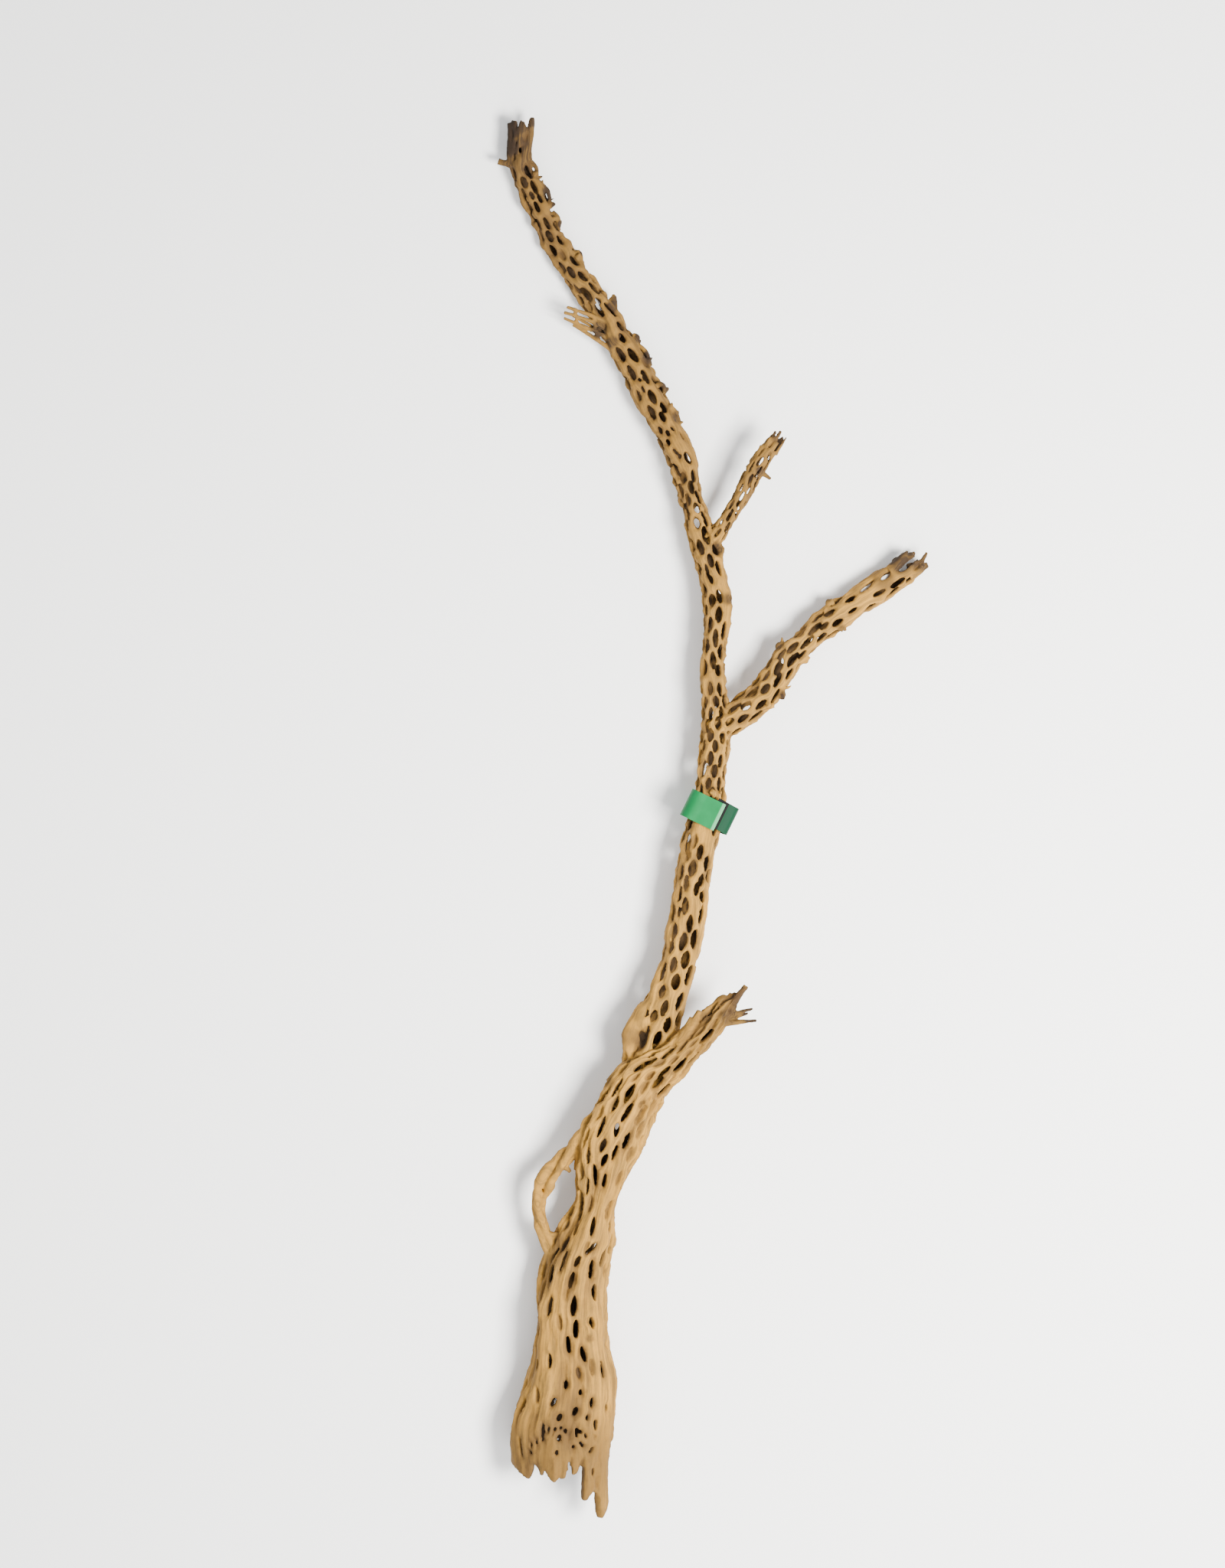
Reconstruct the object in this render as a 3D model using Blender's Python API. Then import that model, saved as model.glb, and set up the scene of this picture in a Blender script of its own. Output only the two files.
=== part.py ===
"""A branch of cholla cactus skeleton, sold as driftwood, lying on its back with a paper band round it.

The wood grew in one piece: a hollow wall, pierced all over by rows of spindle-shaped holes, each
row half a step round from the last. It lies along Y with its thick end at -Y, and it rests on
three low places: under the stump, under the far end of the stem and under the long branch.
Units are metres, and +Z is up.
"""

import math
import random
from dataclasses import dataclass

import bmesh
import bpy
import numpy as np
from mathutils import Matrix, Vector

SEED = 11
UP = Vector((0, 0, 1))
HALF_TURN = math.pi
FULL_TURN = 2 * math.pi
FRAME_STEP = 0.004  # how far apart the two points are that give a stem's direction
SHAKE_ALONG = 0.07  # share of a row that a corner of a hole strays along the stem
SHAKE_ROUND = 0.10  # share of the hole's own width that it strays round the stem
SHAKE_OUT = 0.0011  # how far it strays in or out
SIZE_RANGE = (0.80, 1.12)  # the smallest and the largest hole, as shares of the plain size
INNER_LENGTH = 0.74  # a hole's length on the inside of the wall, as a share of that outside
INNER_WIDTH = 0.80  # its width there
CORE_INSET = 0.010  # how much deeper than the wall's inside the point lies that bumps swell from

# Each station of a stem: x, y and z of the middle of the stem, its half width and its half height
STEM_STATIONS = (
    (-0.1140, -0.382, 0.0560, 0.0190, 0.0170),
    (-0.0960, -0.337, 0.0530, 0.0250, 0.0240),
    (-0.0763, -0.287, 0.0500, 0.0285, 0.0290),
    (-0.0593, -0.237, 0.0500, 0.0260, 0.0270),
    (-0.0443, -0.187, 0.0510, 0.0250, 0.0250),
    (-0.0343, -0.137, 0.0520, 0.0255, 0.0250),
    (-0.0278, -0.087, 0.0530, 0.0245, 0.0240),
    (-0.0183, -0.037, 0.0530, 0.0255, 0.0250),
    (-0.0083, 0.003, 0.0520, 0.0235, 0.0230),
    (-0.0013, 0.063, 0.0510, 0.0215, 0.0220),
    (0.0027, 0.113, 0.0500, 0.0215, 0.0220),
    (0.0007, 0.163, 0.0480, 0.0180, 0.0190),
    (0.0007, 0.213, 0.0460, 0.0180, 0.0180),
    (0.0047, 0.263, 0.0440, 0.0195, 0.0190),
    (-0.0023, 0.313, 0.0420, 0.0190, 0.0190),
    (-0.0143, 0.363, 0.0390, 0.0195, 0.0190),
    (-0.0293, 0.413, 0.0360, 0.0180, 0.0180),
    (-0.0413, 0.463, 0.0330, 0.0205, 0.0200),
    (-0.0633, 0.508, 0.0300, 0.0200, 0.0200),
    (-0.0903, 0.563, 0.0260, 0.0215, 0.0210),
    (-0.1173, 0.613, 0.0220, 0.0210, 0.0200),
    (-0.1483, 0.663, 0.0190, 0.0195, 0.0190),
    (-0.1840, 0.713, 0.0155, 0.0185, 0.0170),
    (-0.2150, 0.763, 0.0150, 0.0180, 0.0165),
    (-0.2370, 0.813, 0.0170, 0.0180, 0.0165),
    (-0.2535, 0.855, 0.0205, 0.0175, 0.0160),
    (-0.2515, 0.885, 0.0230, 0.0160, 0.0150),
)
STUMP_STATIONS = (
    (-0.200, -0.852, 0.0445, 0.0600, 0.0465),
    (-0.197, -0.812, 0.0445, 0.0640, 0.0480),
    (-0.190, -0.772, 0.0445, 0.0615, 0.0480),
    (-0.185, -0.732, 0.0440, 0.0575, 0.0460),
    (-0.187, -0.687, 0.0440, 0.0485, 0.0430),
    (-0.186, -0.637, 0.0450, 0.0460, 0.0410),
    (-0.179, -0.590, 0.0460, 0.0430, 0.0380),
    (-0.163, -0.542, 0.0470, 0.0350, 0.0340),
    (-0.154, -0.512, 0.0490, 0.0265, 0.0300),
    (-0.147, -0.482, 0.0510, 0.0310, 0.0310),
    (-0.138, -0.437, 0.0540, 0.0400, 0.0330),
    (-0.117, -0.390, 0.0580, 0.0385, 0.0330),
    (-0.093, -0.350, 0.0640, 0.0370, 0.0300),
    (-0.053, -0.320, 0.0710, 0.0260, 0.0230),
    (-0.018, -0.287, 0.0780, 0.0200, 0.0185),
    (0.008, -0.259, 0.0850, 0.0165, 0.0155),
    (0.021, -0.243, 0.0880, 0.0120, 0.0110),
)
LONG_BRANCH_STATIONS = (
    (0.006, 0.108, 0.050, 0.0190, 0.0185),
    (0.030, 0.128, 0.049, 0.0210, 0.0200),
    (0.064, 0.156, 0.046, 0.0215, 0.0200),
    (0.082, 0.180, 0.043, 0.0200, 0.0190),
    (0.098, 0.204, 0.040, 0.0200, 0.0190),
    (0.120, 0.225, 0.036, 0.0190, 0.0185),
    (0.148, 0.250, 0.030, 0.0205, 0.0190),
    (0.184, 0.275, 0.0235, 0.0195, 0.0185),
    (0.224, 0.300, 0.0185, 0.0205, 0.0190),
    (0.254, 0.320, 0.0195, 0.0185, 0.0170),
    (0.270, 0.333, 0.0210, 0.0160, 0.0150),
)
SHORT_BRANCH_STATIONS = (
    (-0.004, 0.352, 0.042, 0.0130, 0.0120),
    (0.010, 0.372, 0.046, 0.0125, 0.0120),
    (0.022, 0.391, 0.050, 0.0120, 0.0115),
    (0.036, 0.413, 0.054, 0.0125, 0.0120),
    (0.049, 0.438, 0.058, 0.0135, 0.0125),
    (0.064, 0.463, 0.061, 0.0130, 0.0120),
    (0.080, 0.484, 0.063, 0.0110, 0.0100),
)

# The loop of wood beside the stump, and the tie across it: x, y, z and half thickness
LOOP_STATIONS = (
    (-0.140, -0.412, 0.056, 0.0100),
    (-0.170, -0.418, 0.056, 0.0110),
    (-0.187, -0.441, 0.055, 0.0098),
    (-0.204, -0.461, 0.054, 0.0115),
    (-0.2225, -0.483, 0.052, 0.0125),
    (-0.2285, -0.507, 0.050, 0.0100),
    (-0.225, -0.534, 0.048, 0.0098),
    (-0.218, -0.556, 0.046, 0.0110),
    (-0.207, -0.584, 0.045, 0.0130),
    (-0.196, -0.622, 0.045, 0.0120),
)
TIE_STATIONS = (
    (-0.218, -0.550, 0.048, 0.0056),
    (-0.202, -0.551, 0.052, 0.0042),
    (-0.186, -0.549, 0.054, 0.0046),
    (-0.164, -0.540, 0.052, 0.0066),
)
LIMB_SIDES = 6

# The floor's cutter is larger than the branch, and its top is the floor
CUTTER_SIZE = (1.2, 2.4, 0.1)

# Splinters and snapped thorns: where each starts, where it ends, and its half thickness at the root
BLUNTNESS = 0.3  # half thickness at the far end, as a share of that at the root
SPLINTERS = (
    ((-0.150, 0.622, 0.030), (-0.192, 0.660, 0.040), 0.0060),
    ((-0.146, 0.618, 0.026), (-0.196, 0.648, 0.034), 0.0056),
    ((-0.140, 0.612, 0.022), (-0.180, 0.636, 0.026), 0.0064),
    ((-0.140, 0.630, 0.020), (-0.182, 0.658, 0.020), 0.0056),
    ((0.010, -0.262, 0.088), (0.041, -0.221, 0.092), 0.0070),
    ((0.014, -0.262, 0.086), (0.052, -0.252, 0.092), 0.0048),
    ((0.008, -0.270, 0.084), (0.057, -0.266, 0.088), 0.0050),
    ((-0.040, -0.290, 0.078), (-0.024, -0.254, 0.084), 0.0080),
    ((0.240, 0.318, 0.030), (0.274, 0.341, 0.032), 0.0070),
    ((0.252, 0.310, 0.024), (0.283, 0.327, 0.026), 0.0080),
    ((-0.245, 0.850, 0.026), (-0.283, 0.856, 0.024), 0.0060),
    ((-0.240, 0.850, 0.030), (-0.236, 0.911, 0.032), 0.0060),
    ((-0.236, 0.838, 0.020), (-0.210, 0.862, 0.022), 0.0056),
    ((-0.228, 0.800, 0.020), (-0.207, 0.818, 0.022), 0.0066),
    ((-0.186, 0.732, 0.020), (-0.165, 0.747, 0.024), 0.0056),
    ((-0.144, 0.672, 0.022), (-0.127, 0.685, 0.024), 0.0056),
    ((-0.084, 0.560, 0.028), (-0.066, 0.574, 0.030), 0.0056),
    ((0.056, 0.450, 0.060), (0.076, 0.434, 0.062), 0.0046),
    ((0.094, 0.212, 0.044), (0.077, 0.226, 0.046), 0.0060),
    ((0.078, 0.172, 0.044), (0.091, 0.152, 0.044), 0.0064),
    ((0.138, 0.236, 0.030), (0.152, 0.222, 0.030), 0.0058),
    ((-0.112, -0.326, 0.058), (-0.140, -0.350, 0.056), 0.0070),
    ((-0.172, -0.432, 0.054), (-0.180, -0.465, 0.050), 0.0056),
    ((-0.200, -0.452, 0.053), (-0.188, -0.470, 0.050), 0.0050),
    ((-0.163, -0.830, 0.078), (-0.168, -0.889, 0.076), 0.0140),
    ((-0.147, -0.830, 0.056), (-0.144, -0.912, 0.056), 0.0150),
)

# Swellings of the stem's wall: the middle, how far the swelling spreads, and how high it stands
SWELLINGS = (
    ((-0.112, -0.296, 0.056), 0.050, 0.019),
    ((-0.092, -0.252, 0.058), 0.030, 0.009),
    ((0.018, 0.288, 0.048), 0.024, 0.0050),
    ((0.016, 0.346, 0.048), 0.030, 0.0060),
)
BURL_RIM_CENTRE = Vector((-0.108, -0.288, 0.069))
BURL_RIM_RADIUS = 0.015
BURL_RIM_THICKNESS = 0.0045
BURL_RIM_STRETCH = 1.9  # how much longer it is along the stem
BURL_RIM_LEAN = math.radians(-24)
BURL_RIM_SIDES = 5
BURL_RIM_STEPS = 10
MERGE_DISTANCE = 0.00005

# The paper band: where its middle is, the slope of its plane, and the cut of the paper
BAND_CENTRE = Vector((-0.007, 0.002, 0.052))
BAND_TILT = math.radians(-24)
BAND_WIDTH = 0.036
BAND_THICKNESS = 0.0007
BAND_HALF_WIDTH = 0.0296
BAND_HALF_HEIGHT = 0.0277
BAND_START = math.radians(62)  # where its outer end lies, on the front, to the right
BAND_TURN = math.radians(398)  # how far it goes round
BAND_LIFT = 0.0030  # how far the outer end stands off
BAND_LIFT_SHARE = 0.25  # how much of the strip that lift dies away over
BAND_OVERLAP = 0.0011  # how much wider the outer turn lies than the inner one
BAND_STEPS = 34


class Path:
    """The bent middle line of a piece of wood, with its half width and half height along the way."""

    def __init__(self, stations):
        self.stations = stations
        self.measure()

    def measure(self):
        """Works out how far along the path each station lies, and how the values change there."""
        self.rows = np.array(self.stations)
        gaps = np.linalg.norm(np.diff(self.rows[:, :3], axis=0), axis=1)
        self.places = np.concatenate([[0.0], np.cumsum(gaps)])
        self.slopes = np.gradient(self.rows, self.places, axis=0)
        self.length = float(self.places[-1])

    def at(self, place):
        """The station at this distance along the stem, read from a smooth curve through them all."""
        place = min(max(place, 0.0), self.length)
        k = min(max(int(np.searchsorted(self.places, place)) - 1, 0), len(self.places) - 2)
        gap = self.places[k + 1] - self.places[k]
        t = (place - self.places[k]) / gap
        return (
            (2 * t**3 - 3 * t**2 + 1) * self.rows[k]
            + (t**3 - 2 * t**2 + t) * gap * self.slopes[k]
            + (3 * t**2 - 2 * t**3) * self.rows[k + 1]
            + (t**3 - t**2) * gap * self.slopes[k + 1]
        )

    def point(self, place, turn, inset=0.0):
        """A point on the wood: turn 0 is its right side, a quarter turn its top; inset goes inwards."""
        inside = min(max(place, FRAME_STEP), self.length - FRAME_STEP)
        x, y, z, half_width, half_height = self.at(inside)
        before = Vector(self.at(inside - FRAME_STEP)[:3])
        after = Vector(self.at(inside + FRAME_STEP)[:3])
        along = (after - before).normalized()
        side = along.cross(UP).normalized()
        over = side.cross(along)
        beyond = along * (place - inside)
        reach_side = math.cos(turn) * (half_width - inset)
        reach_over = math.sin(turn) * (half_height - inset)
        return Vector((x, y, z)) + beyond + side * reach_side + over * reach_over


@dataclass
class Stem(Path):
    """One tube of the net, with the size of its holes at the thick end and at the thin end."""

    stations: tuple
    columns: int
    pitch: tuple
    wall: tuple
    hole_length: tuple
    hole_width: tuple
    root_tips: tuple
    end_tips: tuple
    twist: float = 0.0
    closed_share: float = 0.0
    swellings: tuple = ()

    def __post_init__(self):
        self.measure()

    def between(self, ends, place):
        """A value that runs evenly from the thick end's to the thin end's."""
        return ends[0] + (ends[1] - ends[0]) * min(max(place / self.length, 0.0), 1.0)

    def wall_point(self, place, turn, inset):
        """A point of the wall, pushed out where the wall has swollen."""
        point = self.point(place, turn, inset)
        outwards = (point - self.point(place, turn, 2 * inset + CORE_INSET)).normalized()
        for middle, spread, height in self.swellings:
            near = 1 - ((point - Vector(middle)).length / spread) ** 2
            if near > 0:
                point = point + outwards * height * near**2
        return point

    def row_places(self):
        """How far along the stem each row of holes lies; the rows keep their pitch."""
        places, place = [], self.between(self.pitch, 0.0) / 2
        while place < self.length:
            places.append(place)
            place += self.between(self.pitch, place)
        return places


class Cell:
    """One hole of the net: four corners on the outside of the wall and four on the inside."""

    def __init__(self, mesh, stem, place, column, rng):
        turn = FULL_TURN * column / stem.columns + stem.twist * place
        pitch = stem.between(stem.pitch, place)
        wall = stem.between(stem.wall, place)
        size = rng.uniform(*SIZE_RANGE)
        length = stem.between(stem.hole_length, place) * size / 2
        _, _, _, half_width, half_height = stem.at(place)
        girth = HALF_TURN * (half_width + half_height)
        width = stem.between(stem.hole_width, place) * size / girth * FULL_TURN / 2
        self.open = rng.random() >= stem.closed_share
        self.turn = turn

        def corner(along, round_, inset):
            stray = rng.uniform(-1, 1) * SHAKE_ALONG * pitch
            swing = rng.uniform(-1, 1) * SHAKE_ROUND * width
            out = rng.uniform(-1, 1) * SHAKE_OUT
            return mesh.verts.new(
                stem.wall_point(place + along * length + stray, turn + round_ * width + swing, inset + out)
            )

        self.top = corner(1.0, 0.0, 0.0)
        self.right = corner(0.0, 1.0, 0.0)
        self.bottom = corner(-1.0, 0.0, 0.0)
        self.left = corner(0.0, -1.0, 0.0)
        self.in_top = corner(INNER_LENGTH, 0.0, wall)
        self.in_right = corner(0.0, INNER_WIDTH, wall)
        self.in_bottom = corner(-INNER_LENGTH, 0.0, wall)
        self.in_left = corner(0.0, -INNER_WIDTH, wall)

    def add_sides(self, mesh, upper, lower):
        """The walls of the hole, or a lid on each face of the wall where the hole has grown shut."""
        if not self.open and upper and lower:
            mesh.faces.new((self.top, self.left, self.bottom, self.right))
            mesh.faces.new((self.in_top, self.in_right, self.in_bottom, self.in_left))
            return
        if upper:
            mesh.faces.new((self.top, self.right, self.in_right, self.in_top))
            mesh.faces.new((self.left, self.top, self.in_top, self.in_left))
        if lower:
            mesh.faces.new((self.right, self.bottom, self.in_bottom, self.in_right))
            mesh.faces.new((self.bottom, self.left, self.in_left, self.in_bottom))


def join_cells(mesh, rows, columns):
    """The wood between the holes: a strand along each shared side, and a knot where four meet."""
    for i, row in enumerate(rows):
        shift = i % 2
        above = rows[i + 1] if i + 1 < len(rows) else None
        below = rows[i - 1] if i else None
        for j, cell in enumerate(row):
            beside = row[(j + 1) % columns]
            cell.add_sides(mesh, upper=above is not None, lower=below is not None)
            knot = [cell.right, beside.left]
            inner_knot = [cell.in_right, beside.in_left]
            if below is not None:
                under = below[(j + shift) % columns]
                knot.insert(1, under.top)
                inner_knot.insert(1, under.in_top)
            if above is not None:
                over = above[(j + shift) % columns]
                over_left = above[(j + shift - 1) % columns]
                mesh.faces.new((cell.top, over.left, over.bottom, cell.right))
                mesh.faces.new((cell.left, over_left.bottom, over_left.right, cell.top))
                mesh.faces.new((cell.in_top, cell.in_right, over.in_bottom, over.in_left))
                mesh.faces.new((cell.in_left, cell.in_top, over_left.in_right, over_left.in_bottom))
                knot.append(over.bottom)
                inner_knot.append(over.in_bottom)
            mesh.faces.new(knot)
            mesh.faces.new(inner_knot[::-1])


def add_tips(mesh, stem, row, tips, place, up):
    """Each strand of the last row breaks off in a point; tips holds how far each one reaches."""
    for j, cell in enumerate(row):
        beside = row[(j + 1) % stem.columns]
        turn = cell.turn + HALF_TURN / stem.columns
        reach = tips[j % len(tips)] * (1 if up else -1)
        wall = stem.between(stem.wall, place)
        point = mesh.verts.new(stem.point(place + reach, turn, wall * 0.5))
        around = (cell.right, cell.in_right, beside.in_left, beside.left)
        if not up:
            around = around[::-1]
        for first, second in zip(around, around[1:] + around[:1]):
            mesh.faces.new((point, first, second))


def new_object(name, mesh):
    """Puts a bmesh in the scene as an object of that name, with its faces pointing outwards."""
    loose = [vert for vert in mesh.verts if not vert.link_faces]
    bmesh.ops.delete(mesh, geom=loose, context="VERTS")
    bmesh.ops.recalc_face_normals(mesh, faces=mesh.faces)
    data = bpy.data.meshes.new(name)
    mesh.to_mesh(data)
    mesh.free()
    made = bpy.data.objects.new(name, data)
    bpy.context.scene.collection.objects.link(made)
    return made


def net_tube(name, stem, rng):
    """The hollow, pierced wall of one stem."""
    mesh = bmesh.new()
    places = stem.row_places()
    rows = [
        [Cell(mesh, stem, place, j + (i % 2) / 2, rng) for j in range(stem.columns)]
        for i, place in enumerate(places)
    ]
    join_cells(mesh, rows, stem.columns)
    add_tips(mesh, stem, rows[0], stem.root_tips, places[0], up=False)
    add_tips(mesh, stem, rows[-1], stem.end_tips, places[-1], up=True)
    return new_object(name, mesh)


def limb(name, stations):
    """A solid strand of wood that follows its stations, round, with closed ends."""
    path = Path(tuple((x, y, z, half, half) for x, y, z, half in stations))
    mesh = bmesh.new()
    turns = [FULL_TURN * j / LIMB_SIDES for j in range(LIMB_SIDES)]
    rings = [[mesh.verts.new(path.point(place, turn)) for turn in turns] for place in path.places]
    for ring, after in zip(rings, rings[1:]):
        for j in range(LIMB_SIDES):
            n = (j + 1) % LIMB_SIDES
            mesh.faces.new((ring[j], ring[n], after[n], after[j]))
    mesh.faces.new(rings[0][::-1])
    mesh.faces.new(rings[-1])
    return new_object(name, mesh)


def splinter(name, start, end, half):
    """A three-sided splinter that narrows to a blunt point."""
    start, end = Vector(start), Vector(end)
    mesh = bmesh.new()
    bmesh.ops.create_cone(
        mesh, cap_ends=True, segments=3, radius1=half, radius2=half * BLUNTNESS, depth=(end - start).length
    )
    turn = (end - start).to_track_quat("Z", "Y").to_matrix().to_4x4()
    bmesh.ops.transform(mesh, matrix=Matrix.Translation((start + end) / 2) @ turn, verts=mesh.verts)
    return new_object(name, mesh)


def burl_rim():
    """The raised oval rim round the dished scar on the burl."""
    mesh = bmesh.new()
    start = Matrix.Translation((BURL_RIM_RADIUS, 0, 0)) @ Matrix.Rotation(HALF_TURN / 2, 4, "X")
    ring = bmesh.ops.create_circle(
        mesh, segments=BURL_RIM_SIDES, radius=BURL_RIM_THICKNESS, matrix=start
    )
    bmesh.ops.spin(
        mesh, geom=ring["verts"] + mesh.edges[:], cent=(0, 0, 0), axis=UP, angle=FULL_TURN,
        steps=BURL_RIM_STEPS,
    )
    bmesh.ops.remove_doubles(mesh, verts=mesh.verts, dist=MERGE_DISTANCE)
    stretch = Matrix.Diagonal((1, BURL_RIM_STRETCH, 1, 1))
    lean = Matrix.Rotation(BURL_RIM_LEAN, 4, "Y")
    bmesh.ops.transform(
        mesh, matrix=Matrix.Translation(BURL_RIM_CENTRE) @ lean @ stretch, verts=mesh.verts
    )
    return new_object("burl_rim", mesh)


def trim_at_floor(wood):
    """Cuts off what reaches below the floor, so that the wood rests on small flat places."""
    bpy.ops.mesh.primitive_cube_add(size=1.0, location=(0, 0, -CUTTER_SIZE[2] / 2))
    cutter = bpy.context.object
    cutter.name = "floor_cutter"
    cutter.scale = CUTTER_SIZE
    bpy.ops.object.transform_apply(location=True, rotation=True, scale=True)
    apply_boolean(wood, "DIFFERENCE", cutter=cutter)
    bpy.data.objects.remove(cutter)


def apply_modifier(wood, modifier):
    """Makes the modifier's result the mesh of the wood."""
    with bpy.context.temp_override(object=wood, active_object=wood, selected_objects=[wood]):
        bpy.ops.object.modifier_apply(modifier=modifier.name)


def apply_boolean(wood, operation, cutter=None, group=None):
    """Cuts or joins with one Boolean modifier; the exact solver leaves gaps in a net this fine."""
    modifier = wood.modifiers.new(operation.lower(), "BOOLEAN")
    modifier.operation = operation
    modifier.solver = "MANIFOLD"
    if group is not None:
        modifier.operand_type = "COLLECTION"
        modifier.collection = group
    else:
        modifier.object = cutter
    apply_modifier(wood, modifier)


def fuse(wood, pieces):
    """Joins every piece to the wood in one union, and removes the pieces."""
    group = bpy.data.collections.new("grown_together")
    bpy.context.scene.collection.children.link(group)
    for piece in pieces:
        bpy.context.scene.collection.objects.unlink(piece)
        group.objects.link(piece)
    apply_boolean(wood, "UNION", group=group)
    for piece in pieces:
        bpy.data.objects.remove(piece)
    bpy.data.collections.remove(group)


def drop_scraps(wood):
    """Removes what the union left loose, and keeps the one large body."""
    mesh = bmesh.new()
    mesh.from_mesh(wood.data)
    left, bodies = set(mesh.verts), []
    while left:
        found, edge = set(), [left.pop()]
        while edge:
            vert = edge.pop()
            found.add(vert)
            near = [e.other_vert(vert) for e in vert.link_edges]
            edge.extend(v for v in near if v in left)
            left.difference_update(near)
        bodies.append(found)
    bodies.sort(key=len)
    bmesh.ops.delete(mesh, geom=[v for body in bodies[:-1] for v in body], context="VERTS")
    mesh.to_mesh(wood.data)
    mesh.free()


def build_wood():
    """The whole skeleton as one body."""
    rng = random.Random(SEED)
    stem = Stem(
        STEM_STATIONS, columns=5, pitch=(0.0290, 0.0245), wall=(0.0058, 0.0046),
        hole_length=(0.033, 0.0285), hole_width=(0.0150, 0.0125),
        root_tips=(0.020,), end_tips=(0.038, 0.030, 0.042, 0.024, 0.036), twist=1.2,
        swellings=SWELLINGS,
    )
    stump = Stem(
        STUMP_STATIONS, columns=7, pitch=(0.047, 0.028), wall=(0.0085, 0.0050),
        hole_length=(0.036, 0.028), hole_width=(0.0130, 0.0100),
        root_tips=(0.026, 0.042, 0.030, 0.038, 0.046, 0.032, 0.036),
        end_tips=(0.022, 0.030, 0.016), twist=-1.6, closed_share=0.08,
    )
    long_branch = Stem(
        LONG_BRANCH_STATIONS, columns=4, pitch=(0.0250, 0.0250), wall=(0.0050, 0.0042),
        hole_length=(0.032, 0.032), hole_width=(0.0150, 0.0140),
        root_tips=(0.012,), end_tips=(0.016, 0.030, 0.020, 0.012), twist=2.0,
    )
    short_branch = Stem(
        SHORT_BRANCH_STATIONS, columns=4, pitch=(0.020, 0.020), wall=(0.0034, 0.0030),
        hole_length=(0.025, 0.026), hole_width=(0.0110, 0.0110),
        root_tips=(0.010,), end_tips=(0.026, 0.016, 0.030, 0.020), twist=1.0,
    )
    wood = net_tube("driftwood", stem, rng)
    pieces = [
        net_tube("stump", stump, rng),
        net_tube("long_branch", long_branch, rng),
        net_tube("short_branch", short_branch, rng),
        limb("loop", LOOP_STATIONS),
        limb("tie", TIE_STATIONS),
        burl_rim(),
    ]
    pieces += [splinter(f"splinter_{k}", *row) for k, row in enumerate(SPLINTERS)]
    fuse(wood, pieces)
    trim_at_floor(wood)
    drop_scraps(wood)
    return wood


def build_band():
    """The strip of paper, wound once round the stem, its outer end lying free over its inner end."""
    mesh = bmesh.new()
    path = []
    for k in range(BAND_STEPS + 1):
        share = k / BAND_STEPS
        turn = BAND_START + BAND_TURN * share
        lift = BAND_LIFT * max(0.0, 1 - share / BAND_LIFT_SHARE) + BAND_OVERLAP * (1 - share)
        path.append(((BAND_HALF_WIDTH + lift) * math.cos(turn), (BAND_HALF_HEIGHT + lift) * math.sin(turn)))
    rings = []
    for x, z in path:
        out = Vector((x, 0, z)).normalized() * BAND_THICKNESS
        here = Vector((x, 0, z))
        edge = Vector((0, BAND_WIDTH / 2, 0))
        corners = (here - edge, here + edge, here + edge + out, here - edge + out)
        rings.append([mesh.verts.new(corner) for corner in corners])
    for ring, after in zip(rings, rings[1:]):
        for j in range(4):
            n = (j + 1) % 4
            mesh.faces.new((ring[j], ring[n], after[n], after[j]))
    mesh.faces.new(rings[0][::-1])
    mesh.faces.new(rings[-1])
    tilt = Matrix.Rotation(BAND_TILT, 4, "Z")
    bmesh.ops.transform(mesh, matrix=Matrix.Translation(BAND_CENTRE) @ tilt, verts=mesh.verts)
    return new_object("paper_band", mesh)


def paint(made, name, colour, roughness):
    """A plain material of that colour."""
    material = bpy.data.materials.new(name)
    material.use_nodes = True
    shader = material.node_tree.nodes["Principled BSDF"]
    shader.inputs["Base Color"].default_value = (*colour, 1.0)
    shader.inputs["Roughness"].default_value = roughness
    shader.inputs["Metallic"].default_value = 0.0
    made.data.materials.clear()
    made.data.materials.append(material)


def main():
    """Empties the scene and builds the wood and its band."""
    for old in list(bpy.data.objects):
        bpy.data.objects.remove(old)
    paint(build_wood(), "dry_wood", (0.60, 0.42, 0.24), 0.85)
    paint(build_band(), "green_paper", (0.06, 0.42, 0.20), 0.60)


main()
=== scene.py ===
"""A long branch of netted driftwood, the dried skeleton of a cholla cactus, with a blank paper band.

The wood is made as a carver would plan it: each stem starts as a flat sheet of wall, its holes are
cut out, its rims are worn down, and it is rolled up into a tube along the stem's own bent path.
The tubes, knots and splinters are then fused into one skin and worn smooth. Metres, +Z up.
"""

import logging
import math
import random
from dataclasses import dataclass, field
from enum import Enum
from typing import Any, NamedTuple, Sequence

import bpy
import numpy as np
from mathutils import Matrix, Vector
from mathutils.kdtree import KDTree


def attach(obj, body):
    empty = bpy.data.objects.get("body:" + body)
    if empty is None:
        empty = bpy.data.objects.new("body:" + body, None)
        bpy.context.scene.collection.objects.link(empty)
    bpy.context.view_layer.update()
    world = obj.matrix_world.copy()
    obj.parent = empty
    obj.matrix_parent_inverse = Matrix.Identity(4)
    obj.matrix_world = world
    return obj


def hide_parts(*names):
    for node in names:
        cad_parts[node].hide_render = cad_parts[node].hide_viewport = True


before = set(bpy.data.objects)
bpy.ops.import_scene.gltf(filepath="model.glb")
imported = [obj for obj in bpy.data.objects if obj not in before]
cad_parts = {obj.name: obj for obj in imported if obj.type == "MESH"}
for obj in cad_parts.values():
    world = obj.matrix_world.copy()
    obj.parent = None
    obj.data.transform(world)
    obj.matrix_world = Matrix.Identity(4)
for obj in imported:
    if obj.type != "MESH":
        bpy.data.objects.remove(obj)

log = logging.getLogger("netted_branch")

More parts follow.
